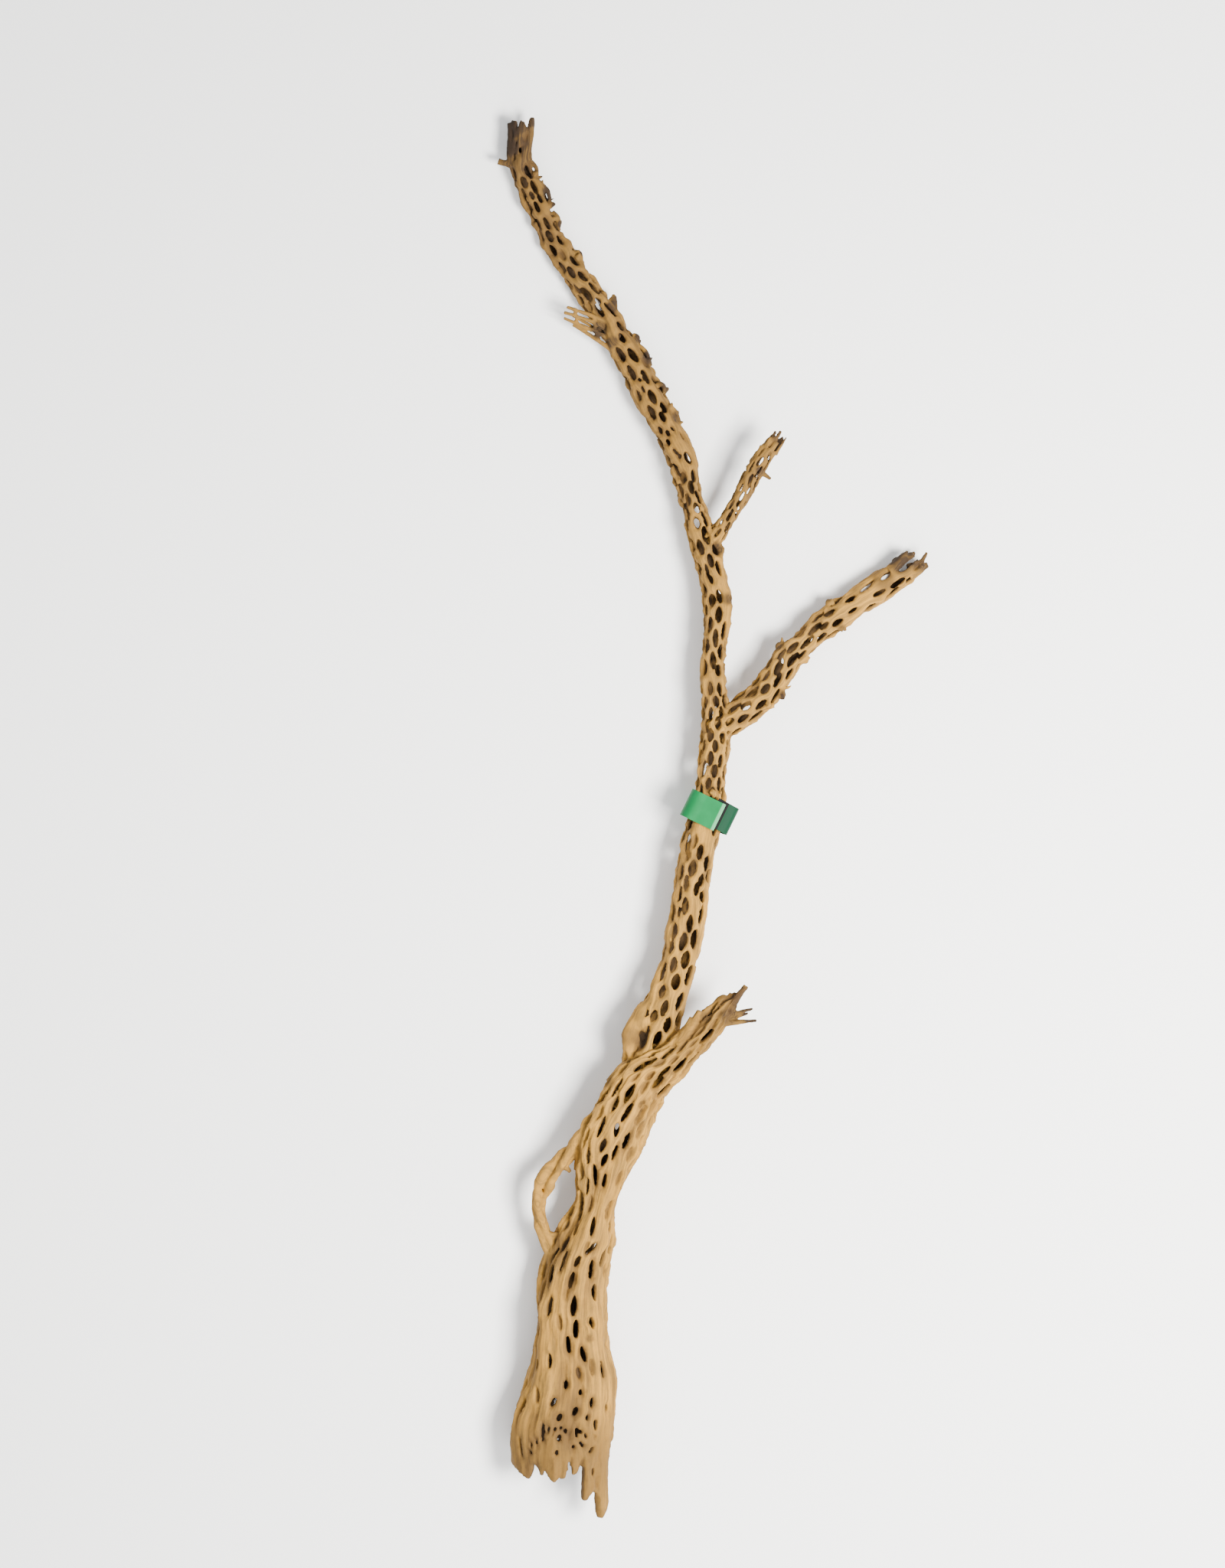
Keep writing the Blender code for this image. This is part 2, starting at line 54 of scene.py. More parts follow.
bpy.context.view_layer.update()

UP = np.array((0.0, 0.0, 1.0))
FULL_TURN = 2 * math.pi
QUARTER = math.pi / 2
MM = 0.001
SEED = 23

Table = tuple[tuple[float, ...], ...]
Spot = tuple[float, float]
Point = tuple[float, float, float]
Colour = tuple[float, float, float]
Array = np.ndarray


# The shapes of the branch

# Each station: x, y and z of the middle of the stem, its half width and its half height
STEM_STATIONS: Table = (
    (-0.1140, -0.382, 0.0560, 0.0190, 0.0170),
    (-0.0960, -0.337, 0.0530, 0.0250, 0.0240),
    (-0.0763, -0.287, 0.0500, 0.0285, 0.0290),
    (-0.0593, -0.237, 0.0500, 0.0260, 0.0270),
    (-0.0443, -0.187, 0.0510, 0.0250, 0.0250),
    (-0.0343, -0.137, 0.0520, 0.0255, 0.0250),
    (-0.0278, -0.087, 0.0530, 0.0245, 0.0240),
    (-0.0183, -0.037, 0.0530, 0.0255, 0.0250),
    (-0.0083, 0.003, 0.0520, 0.0235, 0.0230),
    (-0.0013, 0.063, 0.0510, 0.0215, 0.0220),
    (0.0027, 0.113, 0.0500, 0.0215, 0.0220),
    (0.0007, 0.163, 0.0480, 0.0180, 0.0190),
    (0.0007, 0.213, 0.0460, 0.0180, 0.0180),
    (0.0047, 0.263, 0.0440, 0.0195, 0.0190),
    (-0.0023, 0.313, 0.0420, 0.0190, 0.0190),
    (-0.0143, 0.363, 0.0390, 0.0195, 0.0190),
    (-0.0293, 0.413, 0.0360, 0.0180, 0.0180),
    (-0.0413, 0.463, 0.0330, 0.0205, 0.0200),
    (-0.0633, 0.508, 0.0300, 0.0200, 0.0200),
    (-0.0903, 0.563, 0.0260, 0.0215, 0.0210),
    (-0.1173, 0.613, 0.0220, 0.0210, 0.0200),
    (-0.1483, 0.663, 0.0190, 0.0195, 0.0190),
    (-0.1840, 0.713, 0.0155, 0.0185, 0.0170),
    (-0.2150, 0.763, 0.0150, 0.0180, 0.0165),
    (-0.2370, 0.813, 0.0170, 0.0180, 0.0165),
    (-0.2535, 0.855, 0.0205, 0.0175, 0.0160),
    (-0.2515, 0.885, 0.0230, 0.0160, 0.0150),
)
STUMP_STATIONS: Table = (
    (-0.198, -0.852, 0.0445, 0.0615, 0.0465),
    (-0.197, -0.812, 0.0445, 0.0640, 0.0480),
    (-0.190, -0.772, 0.0445, 0.0615, 0.0480),
    (-0.185, -0.732, 0.0440, 0.0575, 0.0460),
    (-0.187, -0.687, 0.0440, 0.0485, 0.0430),
    (-0.186, -0.637, 0.0450, 0.0460, 0.0410),
    (-0.179, -0.590, 0.0460, 0.0430, 0.0380),
    (-0.163, -0.542, 0.0470, 0.0350, 0.0340),
    (-0.154, -0.512, 0.0490, 0.0265, 0.0300),
    (-0.147, -0.482, 0.0510, 0.0310, 0.0310),
    (-0.138, -0.437, 0.0540, 0.0400, 0.0330),
    (-0.117, -0.390, 0.0580, 0.0385, 0.0330),
    (-0.093, -0.350, 0.0640, 0.0370, 0.0300),
    (-0.053, -0.320, 0.0710, 0.0260, 0.0230),
    (-0.018, -0.287, 0.0780, 0.0200, 0.0185),
    (0.008, -0.259, 0.0850, 0.0165, 0.0155),
    (0.021, -0.243, 0.0880, 0.0120, 0.0110),
)
LONG_BRANCH_STATIONS: Table = (
    (0.006, 0.108, 0.050, 0.0190, 0.0185),
    (0.030, 0.128, 0.049, 0.0210, 0.0200),
    (0.064, 0.156, 0.046, 0.0215, 0.0200),
    (0.082, 0.180, 0.043, 0.0200, 0.0190),
    (0.098, 0.204, 0.040, 0.0200, 0.0190),
    (0.120, 0.225, 0.036, 0.0190, 0.0185),
    (0.148, 0.250, 0.030, 0.0205, 0.0190),
    (0.184, 0.275, 0.0235, 0.0195, 0.0185),
    (0.224, 0.300, 0.0185, 0.0205, 0.0190),
    (0.254, 0.320, 0.0195, 0.0185, 0.0170),
    (0.270, 0.333, 0.0210, 0.0160, 0.0150),
)
SHORT_BRANCH_STATIONS: Table = (
    (0.000, 0.358, 0.043, 0.0128, 0.0118),
    (0.010, 0.372, 0.046, 0.0125, 0.0120),
    (0.022, 0.391, 0.050, 0.0120, 0.0115),
    (0.036, 0.413, 0.054, 0.0125, 0.0120),
    (0.049, 0.438, 0.058, 0.0135, 0.0125),
    (0.064, 0.463, 0.061, 0.0130, 0.0120),
    (0.080, 0.484, 0.063, 0.0110, 0.0100),
)

# Solid limbs: x, y, z and half thickness along each one
LOOP: Table = (
    (-0.140, -0.412, 0.056, 0.0100),
    (-0.170, -0.418, 0.056, 0.0110),
    (-0.187, -0.441, 0.055, 0.0098),
    (-0.204, -0.461, 0.054, 0.0115),
    (-0.2225, -0.483, 0.052, 0.0125),
    (-0.2285, -0.507, 0.050, 0.0100),
    (-0.2260, -0.530, 0.048, 0.0095),
    (-0.2215, -0.548, 0.047, 0.0088),
    (-0.2180, -0.562, 0.046, 0.0078),
    (-0.2110, -0.583, 0.045, 0.0090),
    (-0.1980, -0.618, 0.045, 0.0110),
)
TIE: Table = (
    (-0.218, -0.550, 0.048, 0.0056),
    (-0.202, -0.551, 0.052, 0.0042),
    (-0.186, -0.549, 0.054, 0.0046),
    (-0.164, -0.540, 0.052, 0.0066),
)

# Splinters: start, end, half thickness at the root and at the tip
SPLINTERS: tuple[tuple[Point, Point, float, float], ...] = (
    ((0.006, -0.268, 0.086), (0.041, -0.222, 0.091), 0.0075, 0.0036),
    ((0.004, -0.262, 0.080), (0.028, -0.232, 0.084), 0.0060, 0.0030),
    ((0.014, -0.262, 0.086), (0.050, -0.252, 0.092), 0.0046, 0.0016),
    ((0.010, -0.268, 0.080), (0.044, -0.258, 0.084), 0.0042, 0.0016),
    ((0.008, -0.272, 0.084), (0.055, -0.267, 0.088), 0.0048, 0.0017),
    ((-0.050, -0.304, 0.080), (-0.029, -0.264, 0.084), 0.0064, 0.0036),
    ((-0.042, -0.300, 0.082), (-0.019, -0.255, 0.086), 0.0060, 0.0040),
    ((-0.030, -0.294, 0.084), (-0.008, -0.262, 0.088), 0.0056, 0.0026),
    ((0.232, 0.318, 0.030), (0.252, 0.338, 0.032), 0.0084, 0.0062),
    ((0.246, 0.330, 0.032), (0.255, 0.345, 0.033), 0.0062, 0.0024),
    ((0.258, 0.314, 0.024), (0.282, 0.327, 0.026), 0.0085, 0.0040),
    ((0.256, 0.322, 0.028), (0.276, 0.331, 0.030), 0.0060, 0.0032),
    ((0.274, 0.330, 0.030), (0.280, 0.343, 0.032), 0.0034, 0.0020),
    ((-0.248, 0.848, 0.026), (-0.282, 0.857, 0.024), 0.0050, 0.0042),
    ((-0.264, 0.850, 0.024), (-0.2665, 0.907, 0.026), 0.0066, 0.0040),
    ((-0.242, 0.856, 0.028), (-0.2375, 0.909, 0.030), 0.0056, 0.0024),
    ((0.056, 0.450, 0.060), (0.074, 0.436, 0.062), 0.0046, 0.0020),
    ((0.070, 0.468, 0.066), (0.087, 0.498, 0.070), 0.0036, 0.0016),
    ((0.080, 0.468, 0.060), (0.0945, 0.491, 0.064), 0.0034, 0.0015),
    ((0.060, 0.466, 0.066), (0.074, 0.490, 0.070), 0.0032, 0.0015),
    ((0.050, 0.456, 0.064), (0.061, 0.480, 0.068), 0.0030, 0.0015),
    ((-0.112, -0.326, 0.058), (-0.138, -0.350, 0.056), 0.0074, 0.0046),
    ((-0.172, -0.432, 0.054), (-0.180, -0.465, 0.050), 0.0056, 0.0026),
    ((-0.200, -0.454, 0.053), (-0.187, -0.468, 0.050), 0.0050, 0.0024),
)

# The splayed twig: the points of each stick from its root to its tip, and the half thickness of each
STICKS: tuple[Table, ...] = (
    ((-0.124, 0.634, 0.030), (-0.147, 0.648, 0.034), (-0.172, 0.657, 0.039), (-0.192, 0.663, 0.043)),
    ((-0.122, 0.626, 0.026), (-0.147, 0.640, 0.032), (-0.170, 0.649, 0.038), (-0.195, 0.656, 0.042)),
    ((-0.120, 0.614, 0.024), (-0.144, 0.628, 0.031), (-0.168, 0.638, 0.035), (-0.196, 0.649, 0.038)),
    ((-0.118, 0.598, 0.020), (-0.138, 0.613, 0.026), (-0.160, 0.627, 0.030), (-0.184, 0.641, 0.034)),
    ((-0.124, 0.616, 0.014), (-0.144, 0.631, 0.021), (-0.164, 0.643, 0.027), (-0.184, 0.653, 0.032)),
    ((-0.176, 0.636, 0.032), (-0.178, 0.642, 0.035), (-0.179, 0.649, 0.038), (-0.181, 0.658, 0.041)),
    ((-0.151, 0.622, 0.029), (-0.153, 0.629, 0.031), (-0.155, 0.638, 0.034), (-0.156, 0.648, 0.036)),
)
STICK_HALVES = (0.0023, 0.0023, 0.0026, 0.0026, 0.0022, 0.0021, 0.0021)

# Holes on the front, where they were counted on the real branch: x and y in millimetres
STEM_HOLES: tuple[Spot, ...] = (
    (-241, 845), (-250, 829), (-234, 824), (-251, 812), (-239, 812), (-226, 809), (-232, 797), (-244, 796),
    (-232, 786), (-241, 782), (-218, 776), (-232, 773), (-229, 758), (-216, 758), (-199, 755), (-213, 738),
    (-198, 733), (-180, 728), (-201, 716), (-187, 710), (-170, 706), (-133, 662), (-118, 623), (-104, 600),
    (-123, 600), (-109, 576), (-88, 571), (-100, 546), (-80, 545), (-63, 532), (-83, 524), (-66, 518),
    (-32, 465), (-9, 363), (-19, 347), (-4, 330), (8, 320), (-10, 315), (-4, 304), (-4, 277), (7, 259),
    (-7, 247), (15, 238), (2, 229), (-11, 218), (11, 211), (-2, 200), (-14, 191), (7, 187), (-27, -36),
    (-38, -38), (-18, -50), (-36, -53), (-7, -65), (-29, -70), (-45, -76), (-4, -82), (-14, -86),
    (-38, -89), (-14, -97), (-22, -98), (-47, -104), (-13, -108), (-39, -119), (-48, -126), (-56, -127),
    (-15, -130), (-31, -142), (-54, -152), (-23, -163), (-41, -166), (-58, -172), (-60, -175), (-36, -189),
    (-54, -195), (-68, -204), (-31, -210), (-49, -217), (-69, -230), (-43, -244), (-65, -252), (-80, -262),
    (-44, -267), (-74, -295),
)
STUMP_HOLES: tuple[Spot, ...] = (
    (-112, -387), (-126, -407), (-145, -427), (-129, -437), (-143, -445), (-141, -469), (-144, -490),
    (-157, -534), (-165, -561), (-179, -582), (-186, -601), (-193, -621), (-153, -622), (-182, -637),
    (-216, -638), (-164, -657), (-202, -658), (-158, -660), (-179, -667), (-190, -688), (-168, -700),
    (-215, -710), (-231, -717), (-157, -717), (-142, -722), (-175, -725),
)


class Swelling(NamedTuple):
    """A place where a wall bulges out or is dished in.

    Args:
        middle: its middle on the front of the wall, x and y in millimetres.
        spread: how far it reaches along and round the stem, in millimetres.
        height: how high it stands, in millimetres, and less than none for a dish.
    """

    middle: Spot
    spread: Spot
    height: float


class Slit(NamedTuple):
    """A hole of its own shape at a known place.

    Args:
        middle: its middle on the front of the wall, x and y in millimetres.
        half_length: half its length in millimetres.
        half_width: half its width in millimetres.
        lean: how far it leans over, in radians.
        through: whether the far wall is pierced too, so that light shows through.
    """

    middle: Spot
    half_length: float
    half_width: float
    lean: float = 0.0
    through: bool = False


class Flake(NamedTuple):
    """A torn rim with a row of ragged flakes.

    Args:
        start: where it starts on the front of the wall, x and y in millimetres.
        end: where it ends.
        reach: how far its flakes stand out, in millimetres.
    """

    start: Spot
    end: Spot
    reach: float


class Hole(NamedTuple):
    """One spindle-shaped hole.

    Args:
        place: its place along the stem's path.
        turn: its angle round the stem.
        half_length: half its length.
        half_width: half its width.
        lean: how far it leans over, in radians.
        roundness: how blunt its tips are, from 0 to 1.
        fixed: whether it keeps its size where holes crowd together.
    """

    place: float
    turn: float
    half_length: float
    half_width: float
    lean: float
    roundness: float
    fixed: bool = False


class End(Enum):
    """One of the two ends of a stem."""

    THICK = 0
    THIN = -1


STEM_SWELLINGS: tuple[Swelling, ...] = (
    Swelling((-110, -288), (30, 15), 15.0),
    Swelling((-92, -252), (22, 12), 7.0),
    Swelling((-98, -293), (17, 11), -12.0),
    Swelling((18, 280), (14, 9), 6.0),
    Swelling((21, 280), (6, 5), -4.0),
    Swelling((12, 346), (20, 12), 5.0),
    Swelling((5, 346), (11, 8), -4.0),
    Swelling((-133, 662), (16, 10), 2.5),
)
STEM_SLITS: tuple[Slit, ...] = (
    Slit((-97, 567), 4.5, 2.0, 0.3),
    Slit((-92, 553), 6.5, 2.4, 0.0),
    Slit((-72, 500), 5.8, 4.2, 0.1),
    Slit((-60, 497), 5.0, 3.8, 0.1),
    Slit((-52, 503), 5.5, 2.2, 0.1),
    Slit((-40, 495), 7.0, 2.4, 0.1),
    Slit((-61, 484), 5.5, 4.2, 0.1),
    Slit((-50, 472), 7.0, 2.6, 0.4),
    Slit((-44, 466), 3.6, 3.0, -0.5),
    Slit((5, 346), 8.5, 5.5, 0.3),
    Slit((19, 280), 4.0, 2.6, 0.2),
    Slit((-88, -259), 6.0, 2.8, 0.2),
    Slit((-88, -280), 6.0, 2.8, 0.1),
    Slit((-99, -288), 7.0, 2.6, 0.3),
    Slit((-266, 890), 5.0, 3.4, 0.0, True),
    Slit((-260, 882), 9.0, 1.5, 0.05),
    Slit((-248, 884), 9.0, 1.5, 0.0),
    Slit((-243, 888), 8.0, 1.4, 0.0),
    Slit((-253, 872), 7.0, 1.5, 0.1),
    Slit((-262, 862), 6.0, 2.2, 0.1),
)
STEM_FLAKES: tuple[Flake, ...] = (
    Flake((-226, 858), (-221, 841), 5.0),
    Flake((-220, 831), (-210, 801), 6.5),
    Flake((-208, 793), (-200, 773), 3.5),
    Flake((-175, 745), (-166, 731), 6.5),
    Flake((-132, 678), (-124, 665), 6.5),
    Flake((-102, 630), (-95, 619), 4.0),
    Flake((-94, 615), (-80, 588), 5.5),
    Flake((-70, 565), (-62, 551), 6.0),
    Flake((-56, 535), (-42, 511), 4.5),
    Flake((-2, 30), (0, 22), 4.0),
)
STEM_END: tuple[Spot, ...] = (
    (-273, 912), (-270, 911), (-262, 909), (-260.5, 901), (-257.5, 901), (-256, 908), (-254, 913),
    (-251, 906), (-249, 910), (-246, 905), (-244, 902), (-242.5, 899), (-241, 905), (-239, 913),
    (-236, 916), (-233, 916),
)

# Darker spots as seen from above: x, y and reach in millimetres, and strength. The small ones are weathered
# stains. The broad soft ones darken whole stretches, and the broad one over the top end is painted shade.
STAINS_AND_SHADE: tuple[tuple[float, float, float, float], ...] = (
    (-268, 897, 19, 1.45), (-265, 874, 15, 1.4), (-252, 900, 13, 1.1), (-251, 878, 13, 1.0),
    (-238, 906, 9, 1.0), (-238, 868, 9, 0.7), (-222, 845, 10, 1.1), (-212, 816, 15, 1.2),
    (-204, 797, 10, 1.1), (-197, 775, 9, 1.0), (-167, 740, 10, 1.1), (-133, 664, 10, 0.9),
    (-126, 673, 10, 1.1), (-150, 634, 14, 1.0), (-132, 618, 10, 0.9), (-96, 624, 9, 1.0),
    (-82, 598, 13, 1.1), (-63, 558, 10, 1.0), (-46, 520, 11, 0.9), (40, -243, 22, 1.0), (50, -262, 18, 1.1),
    (20, -262, 16, 0.8), (-12, -262, 8, 0.7), (262, 337, 18, 1.0), (276, 330, 16, 0.9),
    (246, 330, 18, 1.05), (225, 306, 16, 0.6), (86, 492, 16, 0.8), (74, 438, 8, 0.8), (60, 445, 9, 0.8),
    (5, 346, 10, 0.9), (19, 280, 9, 0.8), (-111, -290, 14, 0.5), (-138, -348, 9, 0.5), (-248, -866, 9, 0.7),
    (-228, -860, 7, 0.6), (-205, -864, 8, 0.5), (-176, -854, 7, 0.6), (-167, -887, 8, 0.6),
    # The spot at -252, 880 is painted shade over the top end; the broad ones after it darken whole stretches
    (-144, -908, 8, 0.5), (-252, 880, 60, 0.84), (-225, 790, 150, 0.52), (-130, 620, 190, 0.40),
    (-60, 500, 140, 0.36), (50, 430, 80, 0.50), (-5, -270, 60, 0.30), (-200, -850, 90, 0.58),
    (-190, -600, 200, 0.12), (0, 250, 160, 0.16), (-239, -824, 12, 0.5), (-175, -806, 14, 0.6),
    (84, 220, 8, 0.9), (92, 154, 9, 0.8), (150, 283, 7, 0.8), (168, 242, 7, 0.7), (-190, -468, 8, 0.5),
    (-204, -552, 8, 0.5), (-162, -680, 6, 0.7), (-98, -292, 12, 0.6),
)
STUMP_SWELLINGS: tuple[Swelling, ...] = (
    Swelling((-148, -377), (16, 9), 6.0),
    Swelling((-167, -402), (14, 8), 6.0),
    Swelling((-180, -427), (10, 8), 5.0),
    Swelling((-126, -750), (30, 16), 4.0),
    Swelling((-237, -822), (14, 12), 3.0),
    Swelling((-175, -803), (14, 12), 4.0),
    Swelling((-162, -680), (5, 5), -3.0),
    Swelling((-204, -562), (9, 9), -5.0),
    Swelling((-225, -640), (12, 9), 3.0),
    Swelling((-236, -690), (12, 9), 3.0),
)
STUMP_SLITS: tuple[Slit, ...] = (
    Slit((-112, -384), 16.0, 3.4, -0.1),
    Slit((-126, -407), 10.0, 3.6, 0.25, True),
    Slit((-128, -438), 13.0, 3.0, -0.05),
    Slit((-143, -447), 10.0, 4.0, -0.3),
    Slit((-142, -475), 12.0, 2.4, 0.0),
    Slit((-158, -565), 12.0, 3.0, -0.6),
    Slit((-178, -580), 9.0, 3.0, -0.2),
    Slit((-186, -604), 12.0, 3.4, -0.1),
    Slit((-253, -824), 12.0, 2.4, 0.0, True),
    Slit((-225, -800), 12.0, 3.2, 0.15),
    Slit((-217, -797), 6.0, 1.6),
    Slit((-208, -797), 5.0, 1.6, -0.2),
    Slit((-200, -796), 5.0, 1.6, -0.2),
    Slit((-202, -808), 6.0, 2.6),
    Slit((-193, -799), 5.0, 1.6),
    Slit((-187, -806), 8.0, 1.6),
    Slit((-182, -820), 5.0, 1.8),
    Slit((-178, -803), 12.0, 1.8, 0.1),
    Slit((-171, -817), 8.0, 1.8, 0.6),
    Slit((-173, -800), 2.6, 2.6),
    Slit((-166, -806), 6.0, 2.0, 0.5),
    Slit((-153, -793), 8.0, 2.4, 0.1),
    Slit((-154, -810), 7.0, 1.7, 0.5),
    Slit((-158, -825), 7.0, 2.2, -0.5),
    Slit((-240, -819), 5.0, 1.9, 0.6),
    Slit((-233, -815), 6.0, 1.8, 0.6),
    Slit((-241, -828), 3.4, 2.4, 0.4),
    Slit((-205, -827), 6.0, 1.8, -0.1, True),
    Slit((-157, -853), 7.0, 2.0, -0.2),
    Slit((-151, -874), 10.0, 1.6, 0.1),
    Slit((-211, -762), 7.0, 3.2, -0.3),
    Slit((-202, -781), 6.0, 3.2, -0.3),
    Slit((-179, -774), 7.0, 2.8, -0.2),
    Slit((-194, -740), 7.0, 2.6),
    Slit((-172, -751), 5.0, 2.0),
    Slit((-156, -764), 8.0, 2.6),
    Slit((-163, -782), 5.0, 2.0, -0.1),
    Slit((-138, -773), 7.0, 2.0),
)
STUMP_ROOT: tuple[Spot, ...] = (
    (-262, -842), (-260, -853), (-255, -861), (-248, -868), (-243, -859), (-240, -848), (-237, -845),
    (-233, -851), (-227, -862), (-223, -855), (-221, -852), (-216, -858), (-211, -864), (-205, -866),
    (-202, -858), (-198, -862), (-193, -860), (-190, -847), (-187.5, -834), (-185, -836), (-183.5, -860),
    (-180, -855), (-176, -855), (-173, -843), (-170.5, -836), (-169.5, -838), (-168.5, -890), (-163, -891),
    (-159.5, -883), (-154.5, -878), (-150, -882), (-147.5, -908), (-144.5, -917), (-140.5, -911),
    (-138, -896), (-136.5, -858),
)
LONG_BRANCH_SLITS: tuple[Slit, ...] = (
    Slit((200, 299), 13.0, 4.0, 0.1, True),
    Slit((226, 313), 9.0, 4.0, 0.1, True),
    Slit((256, 329), 17.0, 4.6, 0.1, True),
    Slit((217, 288), 11.0, 3.6, -0.05),
    Slit((182, 264), 8.0, 3.6, -0.1),
)
LONG_BRANCH_FLAKES: tuple[Flake, ...] = (
    Flake((80, 218), (90, 222), 6.0),
    Flake((92, 148), (92, 162), 6.0),
    Flake((144, 281), (152, 284), 4.0),
    Flake((164, 240), (172, 244), 4.0),
    Flake((118, 196), (124, 204), 3.0),
    Flake((236, 330), (246, 338), 4.0),
    Flake((268, 318), (276, 326), 3.0),
    Flake((70, 138), (78, 142), 3.0),
)


# Small tools


def deselect_all() -> None:
    """Leaves nothing selected, so that an operator acts on the new piece alone."""
    if bpy.context.object and bpy.context.object.mode != "OBJECT":
        bpy.ops.object.mode_set(mode="OBJECT")
    bpy.ops.object.select_all(action="DESELECT")


def make_active(piece: bpy.types.Object) -> None:
    """Selects one piece alone and makes it the one that operators act on."""
    deselect_all()
    piece.select_set(True)
    bpy.context.view_layer.objects.active = piece


def apply_modifier(piece: bpy.types.Object, kind: str, **settings: Any) -> None:
    """Adds a modifier with these settings and applies it at once.

    Args:
        piece: the mesh that it works on.
        kind: the modifier's type, in Blender's capitals.
        settings: its properties by name.
    """
    make_active(piece)
    modifier = piece.modifiers.new(kind.lower(), kind)
    for name, value in settings.items():
        setattr(modifier, name, value)
    bpy.ops.object.modifier_apply(modifier=modifier.name)


def coordinates(mesh: bpy.types.Mesh) -> Array:
    """All vertices of a mesh as an array of rows."""
    flat = np.empty(len(mesh.vertices) * 3)
    mesh.vertices.foreach_get("co", flat)
    return flat.reshape(-1, 3)


def set_coordinates(mesh: bpy.types.Mesh, points: Array) -> None:
    """Moves every vertex of a mesh to its row of the array."""
    mesh.vertices.foreach_set("co", np.ascontiguousarray(points, dtype=np.float32).ravel())
    mesh.update()


def corner_values(mesh: bpy.types.Mesh, values: Array) -> Array:
    """The values at the four corners of every face, one row for each face."""
    corners = np.empty(len(mesh.loops), dtype=int)
    mesh.loops.foreach_get("vertex_index", corners)
    return values[corners].reshape(-1, 4)


def cell_mean(values: Array) -> Array:
    """The mean of a sheet's values over the four corners of each of its cells."""
    return (values[:-1, :-1] + values[1:, :-1] + values[:-1, 1:] + values[1:, 1:]) / 4


def all_corners(mesh: bpy.types.Mesh, flags: Array) -> Array:
    """Which faces have the flag at every corner."""
    return corner_values(mesh, flags).all(axis=1)


def delete_faces(piece: bpy.types.Object, chosen: Array) -> None:
    """Deletes the chosen faces, and the edges and vertices that no face needs any more."""
    make_active(piece)
    bpy.ops.object.mode_set(mode="EDIT")
    bpy.ops.mesh.select_mode(type="FACE")
    bpy.ops.mesh.select_all(action="DESELECT")
    bpy.ops.object.mode_set(mode="OBJECT")
    piece.data.polygons.foreach_set("select", chosen)
    bpy.ops.object.mode_set(mode="EDIT")
    bpy.ops.mesh.delete(type="FACE")
    bpy.ops.mesh.select_mode(type="VERT")
    bpy.ops.mesh.select_all(action="SELECT")
    bpy.ops.mesh.delete_loose(use_verts=True, use_edges=True, use_faces=False)
    bpy.ops.object.mode_set(mode="OBJECT")


def write_values(piece: bpy.types.Object, name: str, values: Array) -> None:
    """Stores one number, or one row of three, for each point of a piece, for its finish to read."""
    single = values.ndim == 1
    layer = piece.data.attributes.new(name, "FLOAT" if single else "FLOAT_VECTOR", "POINT")
    layer.data.foreach_set("value" if single else "vector", values.astype(np.float32).ravel())


def smooth_line(rows: Array, slopes: Array, places: Array, wanted: Array) -> Array:
    """Reads a smooth line that runs through given rows with given slopes.

    Args:
        rows: the values at each place.
        slopes: how fast they change there.
        places: the distance of each row along the line.
        wanted: the distances at which the line is read.

    Returns:
        One row of values for each wanted distance.
    """
    k = np.clip(np.searchsorted(places, wanted) - 1, 0, len(places) - 2)
    gap = (places[k + 1] - places[k])[:, None]
    t = ((wanted - places[k]) / gap[:, 0])[:, None]
    return (
        (2 * t**3 - 3 * t**2 + 1) * rows[k] + (t**3 - 2 * t**2 + t) * gap * slopes[k]
        + (3 * t**2 - 2 * t**3) * rows[k + 1] + (t**3 - t**2) * gap * slopes[k + 1]
    )


class Waves:
    """Smooth random waves between -1 and 1 over a sheet, which close up where its sides meet."""

    def __init__(self, rng: np.random.Generator, rows: int, columns: int) -> None:
        """Draws the knots of the waves.

        Args:
            rng: the seeded source of chance.
            rows: how many waves along the sheet.
            columns: how many waves round it.
        """
        self.rows, self.columns = rows, columns
        self.knots = rng.uniform(-1, 1, (rows + 2, columns))

    def at(self, along: Array, around: Array) -> Array:
        """Reads the waves.

        Args:
            along: shares of the way along the sheet, from 0 to 1.
            around: shares of a turn round it, of any size.

        Returns:
            One value for each pair.
        """
        place = np.clip(along, 0, 1) * self.rows
        turn = around * self.columns
        i, j = np.floor(place).astype(int), np.floor(turn).astype(int)
        a, b = place - i, turn - j
        a, b = a * a * (3 - 2 * a), b * b * (3 - 2 * b)
        left, right = j % self.columns, (j + 1) % self.columns
        low = self.knots[i, left] * (1 - b) + self.knots[i, right] * b
        high = self.knots[i + 1, left] * (1 - b) + self.knots[i + 1, right] * b
        return low * (1 - a) + high * a


# Paths and sheets


